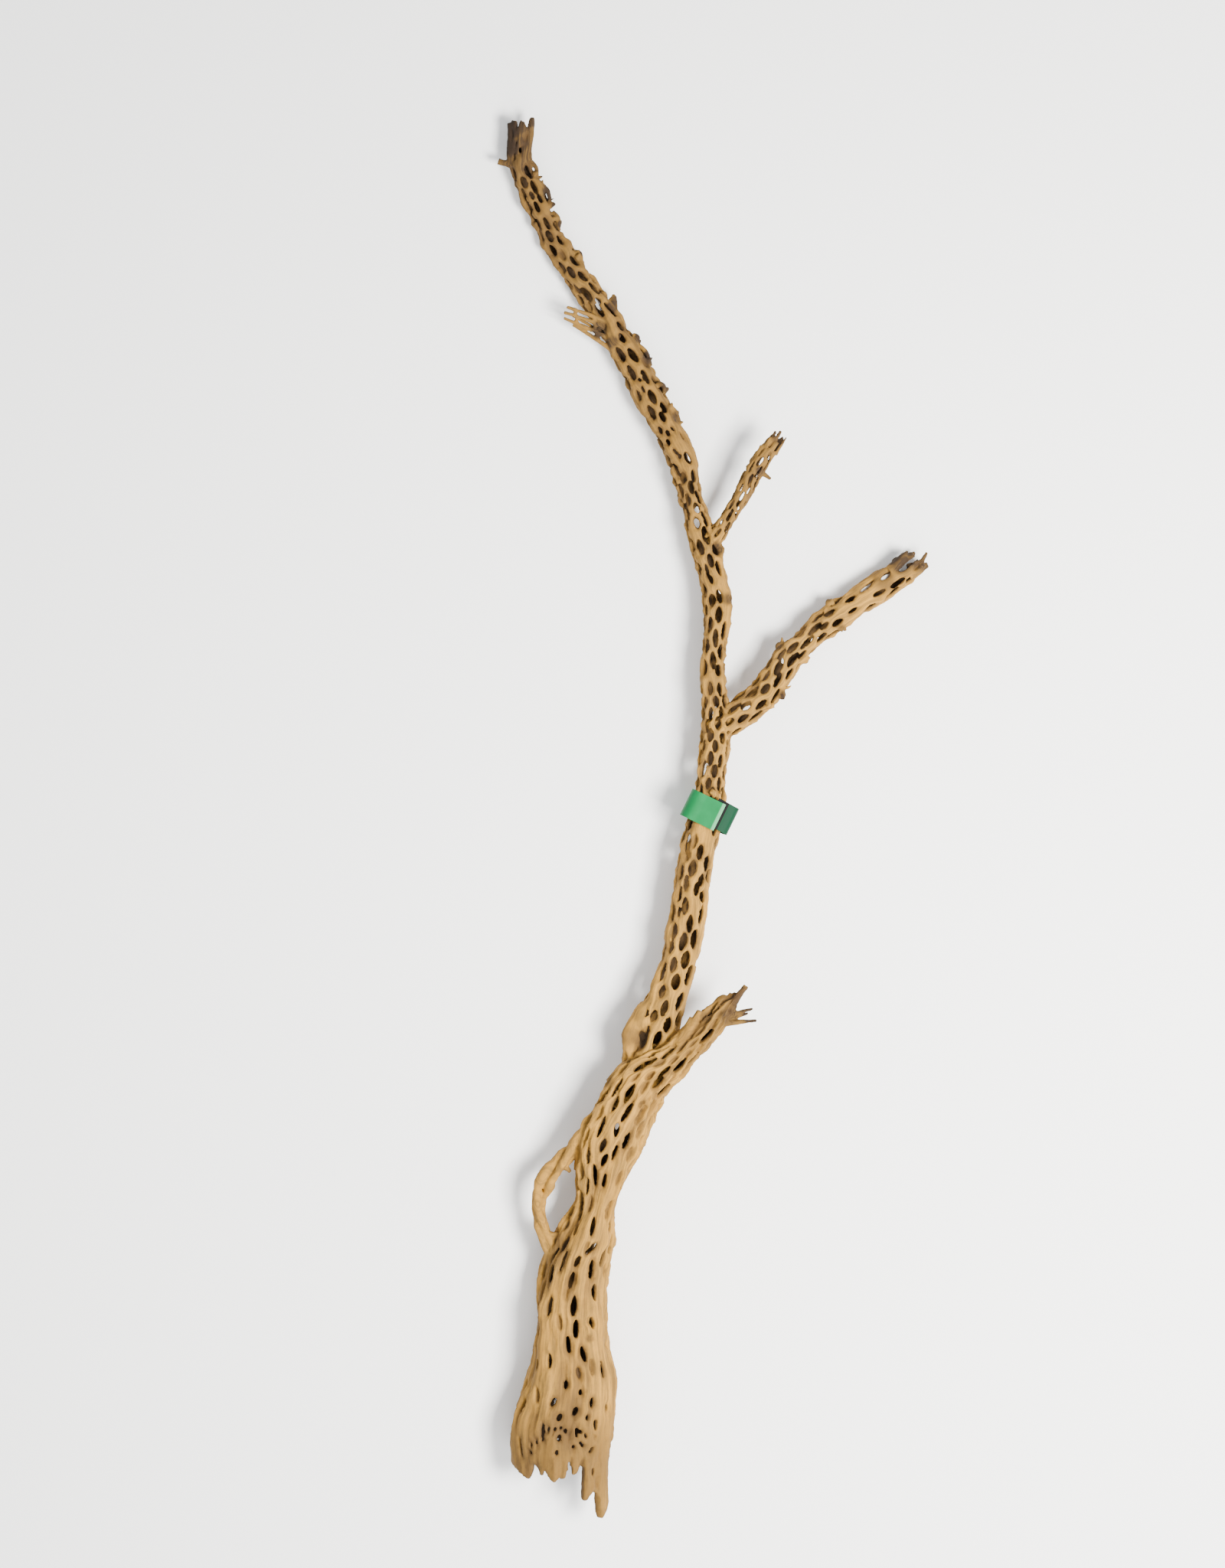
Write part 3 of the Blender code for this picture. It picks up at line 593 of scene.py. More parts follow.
class Path:
    """The bent middle line of a stem, with its half width and half height along the way."""

    SPACING = 0.001
    FAR_SIDE = 0.97  # how far out a place seen from above may lie, as a share of the half width

    def __init__(self, stations: Table, before: float = 0.0, after: float = 0.0) -> None:
        """Reads a smooth line through the stations, and runs it on a little at both ends.

        Args:
            stations: rows of x, y, z, half width and half height.
            before: how far it runs on before the first one.
            after: how far it runs on past the last one.
        """
        rows = np.array([row if len(row) == 5 else (*row, row[3]) for row in stations])
        places = np.concatenate([[0.0], np.cumsum(np.linalg.norm(np.diff(rows[:, :3], axis=0), axis=1))])
        slopes = np.gradient(rows, places, axis=0)
        self.before, self.after, self.inner = before, after, float(places[-1])
        self.length = before + self.inner + after
        self.places = np.linspace(-before, self.inner + after, int(self.length / self.SPACING) + 1)
        read = smooth_line(rows, slopes, places, np.clip(self.places, 0, self.inner))
        ends = slopes[[0, -1], :3] / np.linalg.norm(slopes[[0, -1], :3], axis=1)[:, None]
        beyond = np.where(self.places < 0, self.places, np.maximum(self.places - self.inner, 0))
        read[:, :3] += np.where(self.places[:, None] < 0, ends[0], ends[1]) * beyond[:, None]
        self.middle, self.half = read[:, :3], read[:, 3:5]
        self.along = np.gradient(self.middle, axis=0)
        self.along /= np.linalg.norm(self.along, axis=1)[:, None]
        self.side = np.cross(self.along, UP)
        self.side /= np.linalg.norm(self.side, axis=1)[:, None]
        self.over = np.cross(self.side, self.along)
        self.tree = KDTree(len(self.middle))
        for n, point in enumerate(self.middle):
            self.tree.insert(point, n)
        self.tree.balance()

    def index(self, place: Array) -> Array:
        """The number of the nearest sample to each place along the path."""
        share = (np.asarray(place) - self.places[0]) / (self.places[-1] - self.places[0])
        last = len(self.places) - 1
        return np.clip(np.rint(share * last).astype(int), 0, last)

    def wrap(self, place: Array, turn: Array, lift: Array) -> Array:
        """Points on the stem at these places and turns; turn 0 is its right side, a quarter its top.

        Args:
            place: distances along the path.
            turn: angles round it.
            lift: how far out of the plain surface each point lies.

        Returns:
            One row of x, y and z for each point.
        """
        t = np.clip((place + self.before) / self.length, 0, 1) * (len(self.places) - 1)
        k = np.minimum(t.astype(int), len(self.places) - 2)
        share = (t - k)[:, None]

        def read(values: Array) -> Array:
            """The values between two samples of the path."""
            return values[k] * (1 - share) + values[k + 1] * share

        half = read(self.half)
        right = (half[:, 0] + lift) * np.cos(turn)
        top = (half[:, 1] + lift) * np.sin(turn)
        return read(self.middle) + read(self.side) * right[:, None] + read(self.over) * top[:, None]

    def front(self, x: float, y: float) -> tuple[float, float]:
        """Where a point seen from above lies on the stem's front: its place and its turn."""
        flat = np.hypot(self.middle[:, 0] - x, self.middle[:, 1] - y)
        n = int(np.argmin(flat))
        away = np.array((x, y, 0.0)) - self.middle[n] * (1, 1, 0)
        across = float(np.clip(away @ self.side[n] / self.half[n, 0], -self.FAR_SIDE, self.FAR_SIDE))
        return float(self.places[n]), math.acos(across)

    def unroll(self, points: Array) -> tuple[Array, Array, Array]:
        """Where points in space lie by this path.

        Args:
            points: rows of x, y and z.

        Returns:
            Their places along the path, their turns round it, and how far out they lie, as a share
            of the stem's own half width.
        """
        nearest = np.array([self.tree.find(point)[1] for point in points])
        away = points - self.middle[nearest]
        place = self.places[nearest] + np.einsum("ij,ij->i", away, self.along[nearest])
        right = np.einsum("ij,ij->i", away, self.side[nearest]) / self.half[nearest, 0]
        top = np.einsum("ij,ij->i", away, self.over[nearest]) / self.half[nearest, 1]
        return place, np.arctan2(top, right), np.hypot(right, top)


@dataclass
class NetPattern:
    """How the holes of one stem are laid out, from its thick end to its thin end.

    Args:
        columns: holes in one ring.
        pitch: distance between rows of holes; each row is half a hole round from the last.
        half_length: half the length of a hole.
        half_width: half the width of a hole.
        twist: how far the columns wind round, in radians a metre.
        closed: the share of holes that have grown shut.
        back_closed: the same on the underside.
        lean: the least and the most that a hole leans over, in radians.
        roundness: how blunt the tips of a hole are, from 0 for sharp to 1 for round.
        bare: the lengths at the thick end and at the thin end that have no rows of holes.
    """

    columns: int
    pitch: tuple[float, float]
    half_length: tuple[float, float]
    half_width: tuple[float, float]
    twist: float = 0.0
    closed: float = 0.0
    back_closed: float = 0.88
    lean: tuple[float, float] = (-0.10, 0.16)
    roundness: tuple[float, float] = (0.4, 0.4)
    bare: tuple[float, float] = (0.0, 0.0)

    UNDERSIDE = -0.25  # the sine of the turn below which a place is on the underside
    LENGTHS = (0.74, 1.24)  # the shortest and the longest hole, as shares of the plain length
    WIDTHS = (0.76, 1.20)  # the same for the width
    SLIT_ROUNDNESS = 0.3
    COUNTED_SHUT = 0.7  # how often a counted hole has grown shut, beside how often the others have
    STRAY_ALONG = 0.15  # how far a hole strays from its row, as a share of the pitch
    STRAY_ROUND = 0.10  # how far it strays from its column, as a share of a column
    CROWDED_ALONG = 1.5  # how near a counted hole keeps others out, as a share of the pitch
    CROWDED_ROUND = 0.72  # the same round the stem, as a share of a column
    TIP_STRAND = 0.4  # the least wood between the tips of two holes, as a share of that beside them
    SMALLEST = 0.6  # a hole that would shrink to less than this share is left out


@dataclass
class NettedStem:
    """A hollow, pierced stem: a sheet of wall with holes in it, rolled up along its path.

    Args:
        name: what it is called.
        stations: the path that it follows, with its half widths and half heights.
        pattern: how its holes are laid out.
        wall: how thick its wall is.
        seed: the seed of its chance.
        counted: holes at known places on its front, x and y in millimetres.
        swellings: its bulges and dishes.
        root_tips: how far it runs on at the thick end, and how ragged it is there.
        end_tips: the same at the thin end.
        worn: whether the thick end and the thin end are weathered.
        rim: how wide the worn slope round a hole is.
        rim_depth: how deep the slope goes on the outside of the wall.
        inner_rim_depth: how deep it goes on the inside.
        relief: how high the waves of the wall stand, from the broadest to the finest.
        ridge_length: how long the broadest waves are.
        back_size: the size of the holes on its underside, as a share of those on top.
        strand: the least wood that is left between two holes.
        grid: the mesh width of its sheet.
        slits: holes of their own shapes.
        flakes: torn rims.
        root_outline: the broken edge of the thick end as seen from above, x and y in millimetres.
        end_outline: the same of the thin end.
    """

    name: str
    stations: Table
    pattern: NetPattern
    wall: float
    seed: int
    counted: tuple[Spot, ...] = ()
    swellings: tuple[Swelling, ...] = ()
    root_tips: tuple[float, float] = (0.010, 0.010)
    end_tips: tuple[float, float] = (0.030, 0.016)
    worn: tuple[bool, bool] = (False, True)
    rim: float = 0.0060
    rim_depth: float = 0.0044
    inner_rim_depth: float = 0.0026
    relief: tuple[float, float, float] = (0.0020, 0.0010, 0.0004)
    ridge_length: float = 0.035
    back_size: float = 0.80
    strand: float = 0.0046
    grid: float = 0.0018
    slits: tuple[Slit, ...] = ()
    flakes: tuple[Flake, ...] = ()
    root_outline: tuple[Spot, ...] = ()
    end_outline: tuple[Spot, ...] = ()
    path: Path = field(init=False)

    GRAIN_REACH = 0.016  # how far past a hole's tip the grain still bends round it
    GRAIN_FADE = 0.005  # over what distance from its side the bend dies away
    GRAIN_SWEEP = 1.5  # how long the bend is, as a share of the hole's length
    RELIEF_WAVES = ((1, 1), (1, 4), (2, 11))  # how much finer each of the wall's waves is, along and round
    UNDER_BREAK = 0.004  # how much sooner the underside breaks off
    RIM_SHARES = (0, 0.3, 0.65, 1)  # where the points of a torn rim lie
    RIM_RADII = (0.0030, 0.0034, 0.0028, 0.0026)
    FLAKE_SPACING = 7  # in millimetres
    PIT_RIM = 0.0022  # how far inside its outline a hole grown shut is deepest
    PIT_SLOPE = 0.9  # how deep its slope is, as a share of an open hole's
    PIT_EDGE = 0.0016  # over what width the floor of such a pit drops
    PIT_DEPTH = 0.3  # how deep the floor lies, as a share of the wall
    PIT_BULGE = 0.0014  # how far it stands out on the inside of the wall
    INNER_RELIEF = 0.5  # how high the waves stand on the inside, as a share of those outside
    WELD_DISTANCE = 0.00005
    SNAP_REACH = 1.25  # how near a hole's edge a point is moved onto it, in mesh widths
    LEAST_SLOPE = 0.25  # keeps a point between two holes from being moved too far

    def __post_init__(self) -> None:
        """Draws the path, and the empty fields of the sheet."""
        self.path = Path(self.stations, sum(self.root_tips), sum(self.end_tips))
        rows = int(self.path.length / self.grid)
        girth = FULL_TURN * float(np.mean(self.path.half))
        self.shape = (rows + 1, int(girth / self.grid) + 1)
        self.place = np.linspace(self.path.places[0], self.path.places[-1], self.shape[0])
        self.turn = np.linspace(-QUARTER, FULL_TURN - QUARTER, self.shape[1])
        self.radius = np.mean(self.path.half[self.path.index(self.place)], axis=1)
        self.clear = np.full(self.shape, 1.0)
        self.dent = np.full(self.shape, 1.0)
        self.unbroken = np.full(self.shape, 1.0)
        self.lift = np.zeros(self.shape)
        self.shift = np.zeros(self.shape)

    def share(self, ends: tuple[float, float], place: float) -> float:
        """A value that runs evenly from the thick end's to the thin end's."""
        return ends[0] + (ends[1] - ends[0]) * min(max(place / self.path.inner, 0.0), 1.0)

    def radius_at(self, place: float) -> float:
        """The stem's mean radius at a place."""
        return float(np.interp(place, self.place, self.radius))

    def planned_slits(self) -> list[Hole]:
        """The holes of their own shapes, with one in the far wall for each that goes through."""
        planned = []
        for slit in self.slits:
            place, turn = self.path.front(slit.middle[0] * MM, slit.middle[1] * MM)
            size = slit.half_length * MM, slit.half_width * MM
            planned.append(Hole(place, turn, *size, slit.lean, self.pattern.SLIT_ROUNDNESS, True))
            if slit.through:
                planned.append(Hole(place, -turn, *size, -slit.lean, self.pattern.SLIT_ROUNDNESS, True))
        return planned

    def plan_holes(self) -> tuple[list[Hole], list[Hole]]:
        """Lays out the holes: the counted ones first, and rows of them over the rest of the wall.

        Returns:
            The open holes, and those that have grown shut to a dent.
        """
        rng = random.Random(self.seed)
        pattern = self.pattern

        def hole(place: float, turn: float) -> Hole:
            """One hole of about the plain size here."""
            size = 1.0 if math.sin(turn) > pattern.UNDERSIDE else self.back_size
            length = self.share(pattern.half_length, place) * rng.uniform(*pattern.LENGTHS) * size
            width = self.share(pattern.half_width, place) * rng.uniform(*pattern.WIDTHS) * size
            lean = rng.uniform(*pattern.lean)
            return Hole(place, turn, length, width, lean, self.share(pattern.roundness, place))

        counted = self.planned_slits()
        counted += [hole(*self.path.front(x * MM, y * MM)) for x, y in self.counted]
        opened, shut = [], []
        for known in counted:
            grown_shut = not known.fixed and rng.random() < pattern.COUNTED_SHUT * pattern.closed
            (shut if grown_shut else opened).append(known)
        step_round = FULL_TURN / pattern.columns
        place, row = self.path.places[0] + self.share(pattern.pitch, 0) / 3 + pattern.bare[0], 0
        while place < self.path.places[-1] - pattern.bare[1]:
            pitch = self.share(pattern.pitch, place)
            for column in range(pattern.columns):
                stray = rng.uniform(-pattern.STRAY_ROUND, pattern.STRAY_ROUND)
                turn = step_round * (column + (row % 2) / 2 + stray)
                turn += pattern.twist * place
                stray = rng.uniform(-pattern.STRAY_ALONG, pattern.STRAY_ALONG)
                made = hole(place + stray * pitch, turn)
                chance = rng.random()
                crowded = any(
                    math.hypot((other.place - made.place) / (pattern.CROWDED_ALONG * pitch),
                               wrapped(other.turn - turn) / (pattern.CROWDED_ROUND * step_round)) < 1
                    for other in counted
                )
                if not crowded:
                    limit = pattern.closed if math.sin(turn) > pattern.UNDERSIDE else pattern.back_closed
                    (shut if chance < limit else opened).append(made)
            place, row = place + pitch, row + 1
        return opened, shut

    def room(self, hole: Hole, other: Hole, radius: float) -> float:
        """The room that two holes have on a stem of this radius, as a share of what they need."""
        beside = other.half_width + hole.half_width + self.strand
        behind = other.half_length + hole.half_length + self.pattern.TIP_STRAND * self.strand
        return math.hypot(
            wrapped(other.turn - hole.turn) * radius / beside, (other.place - hole.place) / behind
        )

    def spaced(self, opened: list[Hole], shut: list[Hole]) -> tuple[list[Hole], list[Hole]]:
        """Makes room between the holes: one that crowds an earlier one shrinks, or is left out."""
        kept: list[Hole] = []
        results: tuple[list[Hole], list[Hole]] = ([], [])
        for group, result in zip((opened, shut), results):
            for hole in group:
                radius = self.radius_at(hole.place)
                room = min((self.room(hole, other, radius) for other in kept), default=1.0)
                if hole.fixed or room > self.pattern.SMALLEST:
                    size = 1.0 if hole.fixed else min(room, 1.0)
                    fitted = hole._replace(
                        half_length=hole.half_length * size, half_width=hole.half_width * size
                    )
                    kept.append(fitted)
                    result.append(fitted)
        return results

    def mark(self, hole: Hole, layer: Array, bend: float) -> None:
        """Marks one hole on a layer of the sheet, and bends the grain round it."""
        reach = hole.half_length + self.GRAIN_REACH
        first, last = np.searchsorted(self.place, (hole.place - reach, hole.place + reach))
        along = (self.place[first:last] - hole.place)[:, None]
        across = (wrapped(self.turn - hole.turn) * self.radius_at(hole.place))[None, :]
        x = across * math.cos(hole.lean) - along * math.sin(hole.lean)
        y = across * math.sin(hole.lean) + along * math.cos(hole.lean)
        distance = spindle_distance(x, y, hole.half_width, hole.half_length, hole.roundness)
        part = (slice(first, last), slice(None))
        layer[part] = np.minimum(layer[part], distance)
        bulge = hole.half_width * np.clip(1 - (y / (self.GRAIN_SWEEP * hole.half_length)) ** 2, 0, 1)
        fade = np.exp(-np.maximum(distance, 0) / self.GRAIN_FADE)
        self.shift[part] += bend * np.sign(x) * bulge * fade

    def swell(self, swelling: Swelling) -> None:
        """Raises or dishes one place of the wall."""
        place, turn = self.path.front(swelling.middle[0] * MM, swelling.middle[1] * MM)
        along = (self.place - place)[:, None] / (swelling.spread[0] * MM)
        across = (wrapped(self.turn - turn) * self.radius_at(place))[None, :] / (swelling.spread[1] * MM)
        away = along**2 + across**2
        self.lift += swelling.height * MM * np.exp(-(away if swelling.height > 0 else away**2))

    def weather(self) -> None:
        """Breaks off both ends in ragged tips, and gives the wall its ridges."""
        rng = np.random.default_rng(self.seed)
        columns = self.pattern.columns
        along = ((self.place - self.place[0]) / (self.place[-1] - self.place[0]))[:, None]
        around = self.turn[None, :] / FULL_TURN - self.shift / (FULL_TURN * self.radius[:, None])
        level, ring = np.zeros(self.shape[1]), self.turn / FULL_TURN
        ragged = [
            0.6 * Waves(rng, 1, columns).at(level, ring) + 0.4 * Waves(rng, 1, 3 * columns).at(level, ring)
            for _ in range(2)
        ]
        start = self.place[0] + self.root_tips[1] * (1 - ragged[0])
        end = self.place[-1] - self.end_tips[1] * (1 + ragged[1])
        if self.root_outline:
            start = self.broken_edge(self.root_outline, End.THICK, ragged[0])
        if self.end_outline:
            end = self.broken_edge(self.end_outline, End.THIN, ragged[1])
        to_end = end[None, :] - self.place[:, None]
        to_start = self.place[:, None] - start[None, :]
        self.clear = np.minimum(self.clear, np.minimum(to_end, to_start))
        for gap, is_worn in zip((to_start, to_end), self.worn):
            if is_worn:
                self.unbroken = np.minimum(self.unbroken, gap)
        rows = int(self.path.length / self.ridge_length)
        for height, (more_rows, more_columns) in zip(self.relief, self.RELIEF_WAVES):
            waves = Waves(rng, rows * more_rows, columns * more_columns)
            self.lift += height * waves.at(along, around)

    def broken_edge(self, outline: Sequence[Spot], end: End, ragged: Array) -> Array:
        """Where the wall breaks off at one end, all the way round.

        Args:
            outline: the edge as seen from above, x and y in millimetres, from left to right.
            end: which end it is.
            ragged: waves round the edge, for the underside, where it breaks off sooner.

        Returns:
            A place along the path for each turn of the sheet.
        """
        path = self.path
        thick = end is End.THICK
        station = path.index(0.0 if thick else path.inner)
        middle, side, half = path.middle[station], path.side[station], path.half[station, 0]
        across = middle[0] + side[0] * half * np.cos(self.turn)
        points = np.array(outline) * MM
        reach = (np.interp(across, points[:, 0], points[:, 1]) - middle[1]) / path.along[station, 1]
        sooner = self.UNDER_BREAK * (1 if thick else -1) * (1 + ragged)
        limit = np.maximum if thick else np.minimum
        reach = np.where(np.sin(self.turn) < 0, limit(reach, 0) + sooner, reach + 0.15 * sooner)
        return path.places[station] + reach

    def torn_rims(self, rng: random.Random) -> list[bpy.types.Object]:
        """The stem's torn rims, each with its row of flakes."""
        made = []
        for flake in self.flakes:
            made.append(self.torn_rim(flake, rng))
            length = float(np.linalg.norm(np.subtract(flake.end, flake.start)))
            for _ in range(max(2, int(length / self.FLAKE_SPACING))):
                made.append(self.torn_flake(flake, rng))
        return made

    def torn_rim(self, flake: Flake, rng: random.Random) -> bpy.types.Object:
        """The low ridge that one row of flakes stands on."""
        start, end = np.array(flake.start), np.array(flake.end)
        rim = [self.path.front(*((start + (end - start) * share) * MM)) for share in self.RIM_SHARES]
        lifts = np.array([-0.002, rng.uniform(0.2, 0.6), rng.uniform(0.1, 0.5), -0.002])
        lifts[1:3] *= flake.reach * MM
        points = self.path.wrap(np.array([p for p, _ in rim]), np.array([t for _, t in rim]), lifts)
        return sprig(f"{self.name}_rim", points.tolist(), self.RIM_RADII)

    def torn_flake(self, flake: Flake, rng: random.Random) -> bpy.types.Object:
        """One flake, which stands out from the wall and leans along it."""
        start, end = np.array(flake.start), np.array(flake.end)
        x, y = start + (end - start) * rng.random()
        place, turn = self.path.front(x * MM, y * MM)
        turn += rng.uniform(-0.5, 0.3)
        reach = flake.reach * MM * rng.uniform(0.5, 1.2)
        drift = rng.uniform(-0.5, 1.3) * reach
        points = self.path.wrap(
            np.array([place, place + drift * 0.4, place + drift]), np.array([turn, turn, turn + 0.1]),
            np.array([-0.003, reach * 0.6, reach]),
        )
        half = rng.uniform(0.0020, 0.0042)
        return sprig(f"{self.name}_flake", points.tolist(), [half, half * 0.9, half * 0.35])

    def slope_round_holes(self) -> Array:
        """How far down the worn slope of a hole each point lies, from 0 on the flat to 1 at its edge."""
        depth = np.clip(1 - self.clear / self.rim, 0, 1) ** 2
        bowl = np.clip(1 - (self.dent + self.PIT_RIM) / self.rim, 0, 1) ** 2
        return np.maximum(depth, bowl * self.PIT_SLOPE)

    def roll(self) -> bpy.types.Object:
        """Cuts the sheet, gives it its thickness and rolls it up along the path.

        Returns:
            The hollow stem, a closed skin.
        """
        opened, shut = self.spaced(*self.plan_holes())
        for hole in opened:
            self.mark(hole, self.clear, 1.0)
        for hole in shut:
            self.mark(hole, self.dent, 0.7)
        for swelling in self.swellings:
            self.swell(swelling)
        self.weather()
        sheet = self.cut_sheet()
        apply_modifier(sheet, "SOLIDIFY", thickness=1.0, offset=-1, use_rim=True)
        flat = coordinates(sheet.data)
        i, j = self.cells(flat)
        seam = all_corners(sheet.data, (j == 0) | (j == self.shape[1] - 1))
        row = corner_values(sheet.data, i).min(axis=1)
        whole = cell_mean(self.clear) >= 0
        met = np.append(whole[:, 0] & whole[:, -1], False)
        place, turn = self.snapped(i, j)
        slope = self.slope_round_holes()[i, j]
        pit = np.clip(-self.dent / self.PIT_EDGE, 0, 1)[i, j]
        outer = self.lift[i, j] - self.rim_depth * slope - self.PIT_DEPTH * self.wall * pit
        inner = self.INNER_RELIEF * self.lift[i, j] - self.wall + self.inner_rim_depth * slope
        inner -= (self.inner_rim_depth + self.PIT_BULGE) * pit
        top = flat[:, 2] > -0.5
        set_coordinates(sheet.data, self.path.wrap(place, turn, np.where(top, outer, inner)))
        delete_faces(sheet, seam & met[row])
        apply_modifier(sheet, "WELD", merge_threshold=self.WELD_DISTANCE)
        return sheet

    def cells(self, flat: Array) -> tuple[Array, Array]:
        """The row and column of the sheet that each point of the flat grid stands for."""
        rows, columns = self.shape
        i = np.rint((flat[:, 1] + 0.5) * (rows - 1)).astype(int)
        j = np.rint((flat[:, 0] + 0.5) * (columns - 1)).astype(int)
        return i, j

    def cut_sheet(self) -> bpy.types.Object:
        """A flat grid, one unit across, from which the holes are cut out."""
        deselect_all()
        rows, columns = self.shape
        bpy.ops.mesh.primitive_grid_add(x_subdivisions=columns - 1, y_subdivisions=rows - 1, size=1)
        sheet = bpy.context.object
        sheet.name = self.name
        i, j = self.cells(coordinates(sheet.data))
        whole = cell_mean(self.clear) >= 0
        low_row = corner_values(sheet.data, i).min(axis=1)
        low_column = corner_values(sheet.data, j).min(axis=1)
        delete_faces(sheet, ~whole[low_row, low_column])
        return sheet

    def snapped(self, i: Array, j: Array) -> tuple[Array, Array]:
        """Places and turns of grid points, with those beside a hole moved onto its edge."""
        clear, radius = self.clear[i, j], self.radius[i]
        step, swing = self.place[1] - self.place[0], self.turn[1] - self.turn[0]
        slope = np.gradient(self.clear, step, axis=0)[i, j]
        slant = np.gradient(self.clear, axis=1)[i, j] / (radius * swing)
        steep = np.maximum(slope**2 + slant**2, self.LEAST_SLOPE)
        near = np.abs(clear) < self.SNAP_REACH * self.grid
        inside = (j > 0) & (j < self.shape[1] - 1)
        place = self.place[i] - np.where(near & inside, clear * slope / steep, 0)
        turn = self.turn[j] - np.where(near & inside, clear * slant / steep / radius, 0)
        return place, turn

    def sample(self, values: Array, place: Array, turn: Array) -> Array:
        """Reads one of the sheet's fields between its points."""
        rows, columns = self.shape
        t = np.clip((place - self.place[0]) / (self.place[-1] - self.place[0]), 0, 1) * (rows - 1)
        v = ((turn + QUARTER) % FULL_TURN) / FULL_TURN * (columns - 1)
        i, j = np.minimum(t.astype(int), rows - 2), np.minimum(v.astype(int), columns - 2)
        a, b = t - i, v - j
        low = values[i, j] * (1 - b) + values[i, j + 1] * b
        high = values[i + 1, j] * (1 - b) + values[i + 1, j + 1] * b
        return low * (1 - a) + high * a


def wrapped(angle: Any) -> Any:
    """The same angle, or angles, between minus and plus half a turn."""
    return (angle + math.pi) % FULL_TURN - math.pi


def spindle_distance(x: Array, y: Array, half_width: float, half_length: float, roundness: float) -> Array:
    """How far points lie outside a spindle whose tips are rounded.

    Args:
        x: distances across it.
        y: distances along it.
        half_width: half its width.
        half_length: half its length.
        roundness: how blunt its tips are, from 0 to 1.

    Returns:
        Distances, less than none inside.
    """
    soft = min(roundness, 0.9) * half_width
    width, length = half_width - soft, half_length - soft
    arc = (length**2 + width**2) / (2 * width)
    offset = arc - width
    x, y = np.abs(x), np.abs(y)
    tip = np.hypot(x, y - length)
    flank = np.hypot(x + offset, y) - arc
    return np.where((y - length) * offset > x * length, tip, flank) - soft


def sprig(name: str, points: Sequence[Sequence[float]], radii: Sequence[float]) -> bpy.types.Object:
    """A solid strand through these points, drawn as a curve and turned into a mesh.

    Args:
        name: what the piece is called.
        points: x, y and z of each point.
        radii: its half thickness at each one.

    Returns:
        The mesh of the strand.
    """
    curve = bpy.data.curves.new(name, "CURVE")
    curve.dimensions = "3D"
    curve.bevel_depth, curve.bevel_resolution, curve.use_fill_caps = 1.0, 3, True
    curve.resolution_u = 6
    spline = curve.splines.new("NURBS")
    spline.points.add(len(points) - 1)
    spline.use_endpoint_u, spline.order_u = True, 3
    for point, place, radius in zip(spline.points, points, radii):
        point.co, point.radius = (*place[:3], 1), radius
    strand = bpy.data.objects.new(name, curve)
    bpy.context.scene.collection.objects.link(strand)
    make_active(strand)
    bpy.ops.object.convert(target="MESH")
    return bpy.context.object


STRANDS = 3
STRAND_TWIST = 24.0  # in radians a metre
STRAND_SPACING = 0.009  # how far apart the points of a strand lie
STRAND_INSETS = (0.22, 0.60)  # how far in a strand lies, as a share of the limb's half thickness
STRAND_SIZES = (0.36, 0.72)  # its half thickness, as such a share


def twine(name: str, stations: Table, rng: random.Random) -> list[bpy.types.Object]:
    """A limb of fused strands that wind round each other.

    Args:
        name: what it is called.
        stations: x, y, z and half thickness along it.
        rng: the seeded source of chance.

    Returns:
        Its strands.
    """
    path = Path(stations)
    count = max(4, int(path.length / STRAND_SPACING))
    place = np.linspace(0, path.inner, count)
    half = path.half[path.index(place), 0]
    strands = []
    for n in range(STRANDS):
        turn = FULL_TURN * n / STRANDS + STRAND_TWIST * place
        points = path.wrap(place, turn, -half * np.array([rng.uniform(*STRAND_INSETS) for _ in half]))
        radii = [radius * rng.uniform(*STRAND_SIZES) for radius in half]
        strands.append(sprig(f"{name}_{n}", points.tolist(), radii))
    return strands


